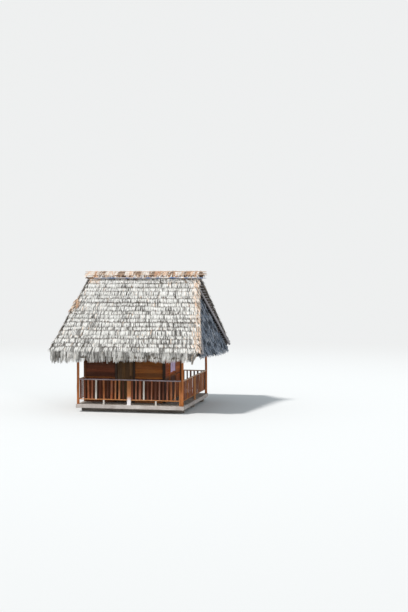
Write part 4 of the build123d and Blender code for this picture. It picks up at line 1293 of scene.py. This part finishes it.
# %% Bearer logs
LOG_RADIUS = 0.09
shapes = []
for points in solids_of("floor_bearers"):
    low, high = box_of(points)
    middle = (low + high) / 2
    start, end = np.array([low[0], middle[1], middle[2]]), np.array([high[0], middle[1], middle[2]])
    skin, faces, grain = grow_pole(start, end, LOG_RADIUS, LOG_RADIUS, sides=20, wander=0.06, spacing=0.2)
    skin[:, UP] = np.clip(skin[:, UP], low[UP], high[UP])
    shapes.append((skin, faces, grain))
make_timbers("bearer_logs", shapes, [LOG_WOOD], "deck_timber", ["floor_bearers"])

# %% [markdown]
# The deck is laid with boards about 140 mm wide, with narrow gaps, from side to side. Each board has a nail
# at both edges over every joist. Some boards are joined over a joist.


# %% Nails
NAIL_SIDES = 6
NAIL_PROFILE = ((0.0045, 0.0), (0.004, 0.0012), (0.0005, 0.0016))  # radius and height
NAIL_INSET = 0.022  # from a board's edge


def nail(x, y, z):
    """The round head of a nail, a little proud of the board."""
    turn = np.linspace(0, 2 * math.pi, NAIL_SIDES, endpoint=False)
    ring = np.stack([np.cos(turn), np.sin(turn), np.zeros(NAIL_SIDES)], axis=1)
    rings = np.array([ring * radius + [0, 0, height] for radius, height in NAIL_PROFILE]) + [x, y, z]
    grain = rings.reshape(-1, 3)[:, :2] - [x, y]
    return rings.reshape(-1, 3), loft(rings), grain


NAIL_IRON, tree, surface = new_material("nail_iron")
rust = noise(tree, house_place(tree), scale=900.0, detail=2.0)
fill(tree, surface.inputs["Base Color"], mix_colour(tree, rust, linear("#4a3a32"), linear("#7a4a2e")))
surface.inputs["Metallic"].default_value = 0.4
surface.inputs["Roughness"].default_value = 0.8

# %% Deck boards
DECK_LOW, DECK_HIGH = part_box("deck_floor")
BOARD_COUNT = 32
BOARD_GAP = 0.006
board_width = (DECK_HIGH[1] - DECK_LOW[1]) / BOARD_COUNT
joist_x = sorted(float(points[:, 0].mean()) for points in solids_of("floor_joists"))
shapes, nails = [], []
for number in range(BOARD_COUNT):
    y0 = DECK_LOW[1] + number * board_width + BOARD_GAP / 2
    y1 = y0 + board_width - BOARD_GAP
    joint = joist_x[int(rng.integers(2, 7))] if rng.random() < 0.6 else None
    ends = [DECK_LOW[0], joint, DECK_HIGH[0]] if joint else [DECK_LOW[0], DECK_HIGH[0]]
    for x0, x1 in zip(ends, ends[1:]):
        drop = rng.uniform(0.0, 0.0015)
        shapes.append(sawn_box((x0 + 0.001, y0, DECK_LOW[2]), (x1 - 0.001, y1, DECK_HIGH[2] - drop),
                               along=SIDEWAYS, chamfer=0.0025, bow=0.0008))
    for x in joist_x:
        for y in (y0 + NAIL_INSET, y1 - NAIL_INSET):
            nails.append(nail(x + rng.normal(0, 0.006), y + rng.normal(0, 0.003), DECK_HIGH[2] - 0.0006))
make_timbers("deck_boards", shapes, [DECK_WOOD], "deck_timber", ["deck_floor"])
make_timbers("deck_nails", nails, [NAIL_IRON], "deck_timber")
print("boards", len(shapes), "nails", len(nails))

# %% [markdown]
# ## Walls
# The wall below the windows is upright boards, and above them level ones, between the rails of the frame.
# The heights are those of the model: sill rail, window head and the rail on top.

# %% Wall heights and boards
SILL = (DECK_TOP + 0.96, DECK_TOP + 1.01)
HEAD = (DECK_TOP + 1.8, DECK_TOP + 1.85)
ROOM_LOW, ROOM_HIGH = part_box("room_posts")
POST_HALF = 0.05
LEFT_LINE, RIGHT_LINE = ROOM_LOW[0] + POST_HALF, ROOM_HIGH[0] - POST_HALF
ROOM_Y = ROOM_HIGH[1] - POST_HALF
POST_TOP = ROOM_HIGH[2]


def thin_axis(low, high):
    """The axis across a panel, and the level one along it."""
    return (0, 1) if high[0] - low[0] < high[1] - low[1] else (1, 0)


def wall_boards(low, high, upright, width):
    """Boards that fill a panel's box; upright says which way they run."""
    thin, level = thin_axis(low, high)
    spread_axis, along = (level, UP) if upright else (UP, level)
    room = high[spread_axis] - low[spread_axis]
    count = max(1, round(room / width))
    cuts = np.linspace(low[spread_axis], high[spread_axis], count + 1)
    cuts[1:-1] += rng.uniform(-0.012, 0.012, count - 1)
    shapes = []
    for a, b in zip(cuts, cuts[1:]):
        piece_low, piece_high = np.array(low, float), np.array(high, float)
        piece_low[spread_axis], piece_high[spread_axis] = a + 0.0002, b - 0.0002
        push = rng.uniform(-0.002, 0.002)
        piece_low[thin] += 0.001 + push
        piece_high[thin] += push - 0.001
        shapes.append(sawn_box(piece_low, piece_high, along=along, chamfer=0.003, bow=0.0008, spacing=0.6))
    return shapes


WALL_BOARD = 0.14
for node_name in ("front_left_wall", "front_right_wall", "front_wall_over_door", "left_wall", "right_wall",
                  "rear_wall"):
    shapes, picks = [], []
    for points in solids_of(node_name):
        low, high = box_of(points)
        below_windows = high[2] < SILL[1]
        boards = wall_boards(low, high, below_windows, WALL_BOARD)
        shapes += boards
        # Front boards below the windows take the darker wood: painted shade behind the railing.
        picks += [1 if below_windows and low[1] < 1 - ROOM_Y else 0] * len(boards)
    woods = [BOARD_WOOD, PAINTED_SHADE_LOW_BOARDS]
    make_timbers(node_name + "_boards", shapes, woods, "varnished_board", [node_name], picks)

# %% Wall frames
FRAME_SQUARE = 0.06  # studs and rails
WINDOW_HALF = 0.49  # from a wall's middle to its studs


def wall_frame(line, axis, low, high):
    """Studs and rails of a wall of three bays on a line; the bays' limits come from the model."""
    half, middle = FRAME_SQUARE / 2, (low + high) / 2
    outer = WINDOW_HALF + FRAME_SQUARE
    studs = [(middle - outer, middle - WINDOW_HALF), (middle + WINDOW_HALF, middle + outer)]
    bays = [(low, studs[0][0]), (studs[0][1], studs[1][0]), (studs[1][1], high)]
    head_rail = POST_TOP - FRAME_SQUARE
    pieces = [(start, end, DECK_TOP, head_rail) for start, end in studs] + [(low, high, head_rail, POST_TOP)]
    for start, end in bays:
        pieces += [(start, end, *heights) for heights in ((DECK_TOP, DECK_TOP + FRAME_SQUARE), SILL, HEAD)]
    shapes = []
    for start, end, bottom, ceiling in pieces:
        corners = [(line - half, start, bottom), (line + half, end, ceiling)]
        if axis == "x":
            corners = [(start, line - half, bottom), (end, line + half, ceiling)]
        shapes.append(sawn_box(*corners, chamfer=0.004))
    return shapes


shapes = wall_frame(LEFT_LINE, "y", -ROOM_Y + POST_HALF, ROOM_Y - POST_HALF)
shapes += wall_frame(RIGHT_LINE, "y", -ROOM_Y + POST_HALF, ROOM_Y - POST_HALF)
make_timbers("side_wall_timbers", shapes, [SHUTTER_WOOD], "varnished_board", ["side_wall_frames"])
shapes = wall_frame(ROOM_Y, "x", LEFT_LINE + POST_HALF, RIGHT_LINE - POST_HALF)
make_timbers("rear_wall_timbers", shapes, [SHUTTER_WOOD], "varnished_board", ["rear_wall_frame"])

# %% [markdown]
# The window flaps are five level boards on two upright ledges, a little thinner than the frame they close.


# %% Window flaps
FLAP_BOARD = 0.155
LEDGE_HALF = 0.035
LEDGE_PLACES = (0.16, 0.84)  # shares of a flap's width


def flap(low, high, outward):
    """Level boards with two ledges; outward is the sign of the outside along the thin axis."""
    thin, level = thin_axis(low, high)
    boards = [np.array(low, float), np.array(high, float)]
    inner, outer = (0, 1) if outward > 0 else (1, 0)
    boards[inner][thin] += 0.008 * outward
    shapes = wall_boards(*boards, upright=False, width=FLAP_BOARD)
    for end in LEDGE_PLACES:
        place = low[level] + (high[level] - low[level]) * end
        ledge = [np.array(low, float), np.array(high, float)]
        ledge[0][level], ledge[1][level] = place - LEDGE_HALF, place + LEDGE_HALF
        ledge[0][2] += 0.02
        ledge[1][2] -= 0.02
        ledge[outer][thin] = boards[inner][thin] + 0.002 * outward
        ledge[inner][thin] -= 0.006 * outward
        shapes.append(sawn_box(*ledge, along=UP, chamfer=0.003))
    return shapes


shapes, picks = [], []
for points in solids_of("front_shutters"):
    boards = flap(*box_of(points), outward=-1)
    shapes += boards
    picks += [0 if points[:, 0].mean() < -1 else 1] * len(boards)
woods = [RED_BOARD_WOOD, SHUTTER_WOOD]
make_timbers("front_window_flaps", shapes, woods, "varnished_board", ["front_shutters"], picks)
shapes = []
for points in solids_of("side_shutters"):
    shapes += flap(*box_of(points), outward=1 if points[:, 0].mean() > 0 else -1)
make_timbers("side_window_flaps", shapes, [BOARD_WOOD], "varnished_board", ["side_shutters"])

# %% [markdown]
# ## Door
# The leaf turns on pins at its round heel. It is four upright boards on three ledges, with a pull made of a
# peeled stick. The frame is two posts, a head and a threshold.

# %% Door frame
FRAME_LOW, FRAME_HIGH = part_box("door_frame")
JAMB = 0.08
HEAD_LOW, HEAD_TOP = DECK_TOP + 1.83, DECK_TOP + 1.9
THRESHOLD_TOP = DECK_TOP + 0.025
front, rear = FRAME_LOW[1], FRAME_HIGH[1]
left, right = FRAME_LOW[0] + JAMB, FRAME_HIGH[0] - JAMB
shapes = [
    sawn_box((FRAME_LOW[0], front, DECK_TOP), (left, rear, FRAME_HIGH[2]), chamfer=0.006),
    sawn_box((right, front, DECK_TOP), (FRAME_HIGH[0], rear, FRAME_HIGH[2]), chamfer=0.006),
    sawn_box((left, front, HEAD_LOW), (right, rear, HEAD_TOP), chamfer=0.006),
    sawn_box((left, front, DECK_TOP), (right, rear, THRESHOLD_TOP), along=SIDEWAYS, chamfer=0.004),
]
make_timbers("door_frame_timbers", shapes, [DARK_WOOD], "dark_timber", ["door_frame"])

# %% Door leaf: boards and ledges
DOOR_LOW, DOOR_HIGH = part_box("door")
HEEL_REACH = 0.0175  # the heel's radius, and so its axis from the leaf's edge and rear face
LEAF_FRONT, LEAF_REAR = rear - 0.035, rear
LEAF_LOW, LEAF_TOP = DECK_TOP + 0.031, DECK_TOP + 1.824
LEDGE_HEIGHTS = (0.2, 0.95, 1.6)
LEDGE_WIDTH = 0.1
heel_x, heel_y = DOOR_LOW[0] + HEEL_REACH, rear - HEEL_REACH
shapes = []
cuts = np.linspace(heel_x + 0.006, DOOR_HIGH[0], 5)
for a, b in zip(cuts, cuts[1:]):
    low, high = (a + 0.001, LEAF_FRONT, LEAF_LOW), (b - 0.001, LEAF_REAR - 0.012, LEAF_TOP)
    shapes.append(sawn_box(low, high, along=UP, chamfer=0.003, bow=0.0006))
for height in LEDGE_HEIGHTS:
    low = (heel_x + 0.008, LEAF_REAR - 0.013, DECK_TOP + height)
    high = (DOOR_HIGH[0] - 0.01, LEAF_REAR, DECK_TOP + height + LEDGE_WIDTH)
    shapes.append(sawn_box(low, high, along=SIDEWAYS, chamfer=0.003, bow=0.0004))


# %% Door leaf: heel, pins and pull
def stick(start, end, radius, **habit):
    """A pole of one radius between two points."""
    return grow_pole(np.array(start), np.array(end), radius, radius, **habit)


PULL_HALF, PULL_FEET = 0.11, 0.086
pull_x, pull_y, pull_z = DOOR_HIGH[0] - 0.09, DOOR_LOW[1] + 0.012, DECK_TOP + 0.95
for low, high, radius in ((LEAF_LOW, LEAF_TOP, 0.0172), (DOOR_LOW[2], DOOR_HIGH[2], 0.014)):
    shapes.append(stick([heel_x, heel_y, low], [heel_x, heel_y, high], radius, sides=14, wander=0.0))
foot, top = [pull_x, pull_y, pull_z - PULL_HALF], [pull_x, pull_y, pull_z + PULL_HALF]
shapes.append(stick(foot, top, 0.0115, sides=12, wander=0.15, spacing=0.04))
for level in (pull_z - PULL_FEET, pull_z + PULL_FEET):
    start, end = [pull_x, pull_y, level], [pull_x, LEAF_FRONT, level]
    shapes.append(stick(start, end, 0.009, wander=0.05, spacing=0.02))
picks = [0] * (len(shapes) - 3) + [1] * 3
make_timbers("door_leaf", shapes, [DOOR_WOOD, DARK_WOOD], "dark_timber", ["door"], picks, body="door")

# %% [markdown]
# ## Railings
# A round rail on top and a thinner one below carry upright boards of uneven width. Two boards of the front
# are newer and bleached nearly white. The places are the model's: the first board stands 50 mm from a post,
# and the rest share what is left.

# %% Railing values
POST_X, POST_Y = 2.1, 2.3
POST_REACH = 0.0523  # from a post's centre to where a rail starts
RAIL_TOP, RAIL_LOW = DECK_TOP + 0.975, DECK_TOP + 0.2
TOP_RADIUS, LOW_RADIUS = 0.0245, 0.0195
STUB = 0.07  # a short post beside a gap or in the middle of a side
BOARD_WIDTHS = (0.072, 0.056, 0.080, 0.062, 0.072, 0.050)
BOARD_THICK = 0.021
BOARD_PITCH = 0.157
FIRST_BOARD = 0.05
FRONT_POST = (-0.102, 0.048)  # the sides of the middle post at the front
GAP = (-1.65, -0.85)  # the entrance at the rear
TOP_RAIL, LOW_RAIL, BOARD, WHITE_BOARD, DARK_BOARD = range(5)  # material numbers
DARK_SHARE = 0.28


# %% One railing
def railing(origin, axis, length, spans, white=()):
    """Rails and boards of a railing along an axis, as shapes and material numbers.

    Each span, from its start to its end, has a low rail and boards; white lists (span, board) pairs.
    """
    origin, direction = np.array(origin, float), np.eye(3)[axis]
    facing = np.array([-direction[1], direction[0], 0.0])

    def place(run, z, off=0.0):
        """A point of the railing."""
        return origin + run * direction + off * facing + np.array([0.0, 0.0, z])

    shapes = [stick(place(0, RAIL_TOP), place(length, RAIL_TOP), TOP_RADIUS, sides=12, wander=0.2)]
    picks = [TOP_RAIL]
    for span_number, (start, end) in enumerate(spans):
        shapes.append(stick(place(start, RAIL_LOW), place(end, RAIL_LOW), LOW_RADIUS, wander=0.2))
        picks.append(LOW_RAIL)
        room = end - start - FIRST_BOARD
        count = max(1, round(room / BOARD_PITCH))
        for number in range(count):
            run = start + FIRST_BOARD + number * room / count
            lean = rng.normal(0, 0.005)
            wide = BOARD_WIDTHS[number % len(BOARD_WIDTHS)] * rng.uniform(0.92, 1.04)
            off = rng.uniform(-0.002, 0.002)
            low = place(run - lean, RAIL_LOW - 0.012 - rng.uniform(0, 0.01), off)
            high = place(run + lean, RAIL_TOP + 0.002, off)
            shapes.append(sawn(low, high, wide, BOARD_THICK, facing, chamfer=0.003, bow=0.0015, spacing=0.3))
            bleached = (span_number, number) in white
            picks.append(WHITE_BOARD if bleached else DARK_BOARD if rng.random() < DARK_SHARE else BOARD)
    return shapes, picks


# %% Railings on all sides
ALONG_X, ALONG_Y = 0, 1
start_x, start_y = -POST_X + POST_REACH, -POST_Y + POST_REACH
across, along = -2 * start_x, -2 * start_y
left_length, right_length = GAP[0] - start_x, -start_x - GAP[1]
beside_room = POST_Y - POST_REACH - ROOM_Y - POST_HALF
right_spans = [(0, -STUB / 2 - start_y), (STUB / 2 - start_y, along)]
front_spans = [(0, FRONT_POST[0] - start_x), (FRONT_POST[1] - start_x, across - STUB)]
RAILINGS = {
    "front": [((start_x, -POST_Y, 0), ALONG_X, across, front_spans, {(0, 4), (1, 3)})],
    "right": [((POST_X, start_y, 0), ALONG_Y, along, right_spans)],
    "rear": [((start_x, POST_Y, 0), ALONG_X, left_length, [(0, left_length - STUB)]),
             ((GAP[1], POST_Y, 0), ALONG_X, right_length, [(STUB, right_length)])],
    "left": [((-POST_X, start_y, 0), ALONG_Y, beside_room, [(0, beside_room)]),
             ((-POST_X, ROOM_Y + POST_HALF, 0), ALONG_Y, beside_room, [(0, beside_room)])],
}
for side, runs in RAILINGS.items():
    shapes, picks = [], []
    for run in runs:
        more_shapes, more_picks = railing(*run)
        shapes += more_shapes
        picks += more_picks
    top_wood = GREY_RAIL if side == "front" else TAN_POLE
    woods = [top_wood, ORANGE_RAIL, RAIL_BOARD, BLEACHED_WOOD, RED_BOARD_WOOD]
    node_name = side + ("_railing" if side in ("front", "right") else "_railings")
    make_timbers(side + "_rail_boards", shapes, woods, "tan_pole", [node_name], picks)

# %% Short posts of the railings
shapes, picks = [], []
for low, high in map(box_of, solids_of("rail_posts")):
    shapes.append(sawn_box(low, high, along=UP, chamfer=0.005, bow=0.0015))
    stub = high[2] - low[2] < 0.3
    at_front = low[1] < start_y and abs(low[0]) < 0.5
    # The middle post at the front takes the wood that whitens near the deck: a painted highlight.
    picks.append(1 if stub else 2 if at_front else 0)
woods = [ORANGE_RAIL, BLEACHED_WOOD, MID_POST_HIGHLIGHT_WOOD]
make_timbers("rail_post_timbers", shapes, woods, "tan_pole", ["rail_posts"], picks)

# %% [markdown]
# ## Lavender cloth
# A light cloth hangs folded over a peg beside the window of the right wall, a little askew. It hugs the
# peg, and falls into soft folds that deepen towards its hem. The mesh is one sheet from hem to hem, with a
# little thickness.


# %% Cloth
PEG_LOW, PEG_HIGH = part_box("cloth_peg")
CLOTH_LOW, CLOTH_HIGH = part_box("hanging_cloth")
PEG_Y = (PEG_LOW[1] + PEG_HIGH[1]) / 2
PEG_Z = (PEG_LOW[2] + PEG_HIGH[2]) / 2
PEG_RADIUS = (PEG_HIGH[2] - PEG_LOW[2]) / 2
SHEET_THICKNESS = 0.0016
SKEW = 0.11  # how much more of the cloth hangs at one edge than at the other
FRONT_DROP, REAR_DROP = PEG_Z - CLOTH_LOW[2], 0.43
radius = PEG_RADIUS + 0.0022

# The rows run up one side, over the peg and down the other: a drop below the peg, or an angle round it.
rows = [("front", drop) for drop in np.linspace(FRONT_DROP, 0, 26)[:-1]]
rows += [("over", angle) for angle in np.linspace(math.pi, 0, 12)]
rows += [("rear", drop) for drop in np.linspace(0, REAR_DROP, 24)[1:]]
across = np.linspace(0, 1, 40)
middle = (CLOTH_LOW[0] + CLOTH_HIGH[0]) / 2
level_x = CLOTH_LOW[0] + (CLOTH_HIGH[0] - CLOTH_LOW[0]) * across
grid = np.zeros((len(rows), len(across), 3))
for number, (part, value) in enumerate(rows):
    narrowing = 0.0
    if part == "over":
        y = PEG_Y + radius * math.cos(value) + 0 * across
        z = PEG_Z + radius * math.sin(value) + 0 * across
    else:
        full, sign, phase = (FRONT_DROP, -1, 0.6) if part == "front" else (REAR_DROP, 1, 2.1)
        share = value / full
        folds = 0.5 + 0.5 * np.sin(across * 2 * math.pi * 2.4 + phase + 0.5 * share)
        folds = folds + 0.25 * np.sin(across * 2 * math.pi * 5.3 + 2 * phase) * share
        y = PEG_Y + sign * (radius + 0.013 * share ** 0.7 * np.clip(folds, 0, 1.2) + 0.004 * share)
        hanging = full - SKEW * (across if part == "front" else 1 - across)
        z = np.maximum(PEG_Z - share * hanging, CLOTH_LOW[2])
        narrowing = 0.012 * math.sin(share * math.pi * 0.8)
    x = middle + (level_x - middle) * (1 - narrowing / 0.095)
    grid[number] = np.stack([x, y, z], axis=-1)

# %% Flat size of the cloth, and its faces
steps = np.linalg.norm(np.diff(grid, axis=0), axis=2)
column_lengths = np.linalg.norm(np.diff(grid[:, :, :2], axis=1), axis=2).sum(axis=1)
flat_length, flat_width = float(steps.sum(axis=0).mean()), float(column_lengths.mean())
index = np.arange(len(rows) * len(across)).reshape(len(rows), len(across))
faces = np.stack([index[:-1, :-1], index[:-1, 1:], index[1:, 1:], index[1:, :-1]], axis=-1).reshape(-1, 4)
run_u = np.concatenate([[0.0], np.cumsum(steps.mean(axis=1))])
grain = np.stack([np.broadcast_to(run_u[:, None], index.shape),
                  np.broadcast_to(across[None, :] * flat_width, index.shape)], axis=-1).reshape(-1, 2)
print("cloth", round(flat_width, 3), "by", round(flat_length, 3))


# %% Woven cotton
def threads(direction):
    """Threads of the weave that run across one direction."""
    inputs = {"Vector": own, "Scale": 260.0, "Distortion": 1.5, "Detail": 1.0}
    return node(tree, "TexWave", inputs, bands_direction=direction).outputs["Fac"]


CLOTH, tree, surface = new_material("lavender_cloth")
own = grain_map(tree)
weave = maths(tree, "MULTIPLY", threads("X"), threads("Y"))
faded = noise(tree, own, scale=7.0, detail=4.0)
colour = tint(tree, mix_colour(tree, faded, linear("#dccdff"), linear("#ece4ff")), weave, 0.12, "#a890dc")
finish_surface(tree, surface, colour, 0.9, weave, 0.4, 0.0006)
surface.inputs["Sheen Weight"].default_value = 0.25

# %% The hung cloth
cloth = make_piece("lavender_cloth", (grid.reshape(-1, 3), faces, grain), [CLOTH], "cloth", ["hanging_cloth"],
                   smooth=True)
solid = cloth.modifiers.new("thickness", "SOLIDIFY")
solid.thickness = SHEET_THICKNESS
solid.offset = 0.0

# %% [markdown]
# ## Floor, background and light
# A plain pale floor runs out to the background's colour. A soft key light stands high at the front left, as
# the sun does in the photo, a weaker one comes from low in front, and the sky fills the shade.

# %% Floor
BACKGROUND = (0.86, 0.87, 0.87, 1.0)
PAPER = (0.35, 0.35, 0.34, 1.0)  # as it lights the house
PAPER_SEEN = (0.8, 0.8, 0.79, 1.0)  # as the camera sees it
FLOOR_RADIUS = 160.0
FLOOR_SIDES = 96
floor_mesh = bpy.data.meshes.new("floor")
turn = np.linspace(0, 2 * math.pi, FLOOR_SIDES, endpoint=False)
rim = np.stack([np.cos(turn) * FLOOR_RADIUS, np.sin(turn) * FLOOR_RADIUS, np.zeros(FLOOR_SIDES)], axis=1)
floor_mesh.from_pydata(rim.tolist(), [], [tuple(range(FLOOR_SIDES))])
floor = bpy.data.objects.new("floor", floor_mesh)
bpy.context.collection.objects.link(floor)
floor.location.z = -0.001


def seen_by_camera(tree):
    """One for what the camera sees directly, and zero for light that comes from there."""
    return node(tree, "LightPath").outputs["Is Camera Ray"]


def mix_shader(tree, factor, first, second):
    """One shader that turns into another by a factor."""
    return node(tree, "MixShader", {0: factor, 1: first.outputs[0], 2: second.outputs[0]}).outputs[0]


paper, tree, surface = new_material("floor_paper")
tree.nodes.remove(surface)
seen = seen_by_camera(tree)
near = node(tree, "BsdfDiffuse", {"Color": mix_colour(tree, seen, PAPER, PAPER_SEEN)})
far = node(tree, "Emission", {"Color": BACKGROUND, "Strength": 1.0})
distance = node(tree, "VectorMath", {0: house_place(tree)}, operation="LENGTH").outputs["Value"]
fade = ranged(tree, distance, 9.0, 45.0, interpolation_type="SMOOTHSTEP")
blend = mix_shader(tree, maths(tree, "MULTIPLY", fade, seen), near, far)
tree.links.new(blend, tree.nodes["Material Output"].inputs["Surface"])
floor_mesh.materials.append(paper)
print("floor radius", FLOOR_RADIUS)

# %% World
world = bpy.data.worlds.new("studio")
world.use_nodes = True
bpy.context.scene.world = world
tree = world.node_tree
tree.nodes.clear()
sky = node(tree, "Background", {"Color": (0.84, 0.93, 1.0, 1.0), "Strength": 0.54})
backdrop = node(tree, "Background", {"Color": BACKGROUND, "Strength": 1.0})
node(tree, "OutputWorld", {"Surface": mix_shader(tree, seen_by_camera(tree), sky, backdrop)})
print("world", world.name)


# %% Lights
def sun(name, strength, softness, azimuth, elevation, colour):
    """A sun from an azimuth (0 is the front, positive to the right) and an elevation, both in degrees."""
    data = bpy.data.lights.new(name, "SUN")
    data.energy = strength
    data.angle = math.radians(softness)
    data.color = colour
    lamp = bpy.data.objects.new(name, data)
    bpy.context.collection.objects.link(lamp)
    a, e = math.radians(azimuth), math.radians(elevation)
    towards = Vector((math.sin(a) * math.cos(e), -math.cos(a) * math.cos(e), math.sin(e)))
    lamp.rotation_mode = "QUATERNION"
    lamp.rotation_quaternion = towards.to_track_quat("Z", "Y")


sun("key", 2.95, 6.0, -42.0, 50.0, (1.0, 0.985, 0.965))
sun("low_fill", 1.08, 12.0, 45.0, 6.0, (1.0, 0.98, 0.96))
bpy.context.scene.view_settings.view_transform = "Standard"

# %% Triangle counts
print("triangles", sum(LAYER_TRIANGLES.values()), "most in one piece", max(LAYER_TRIANGLES.values()))
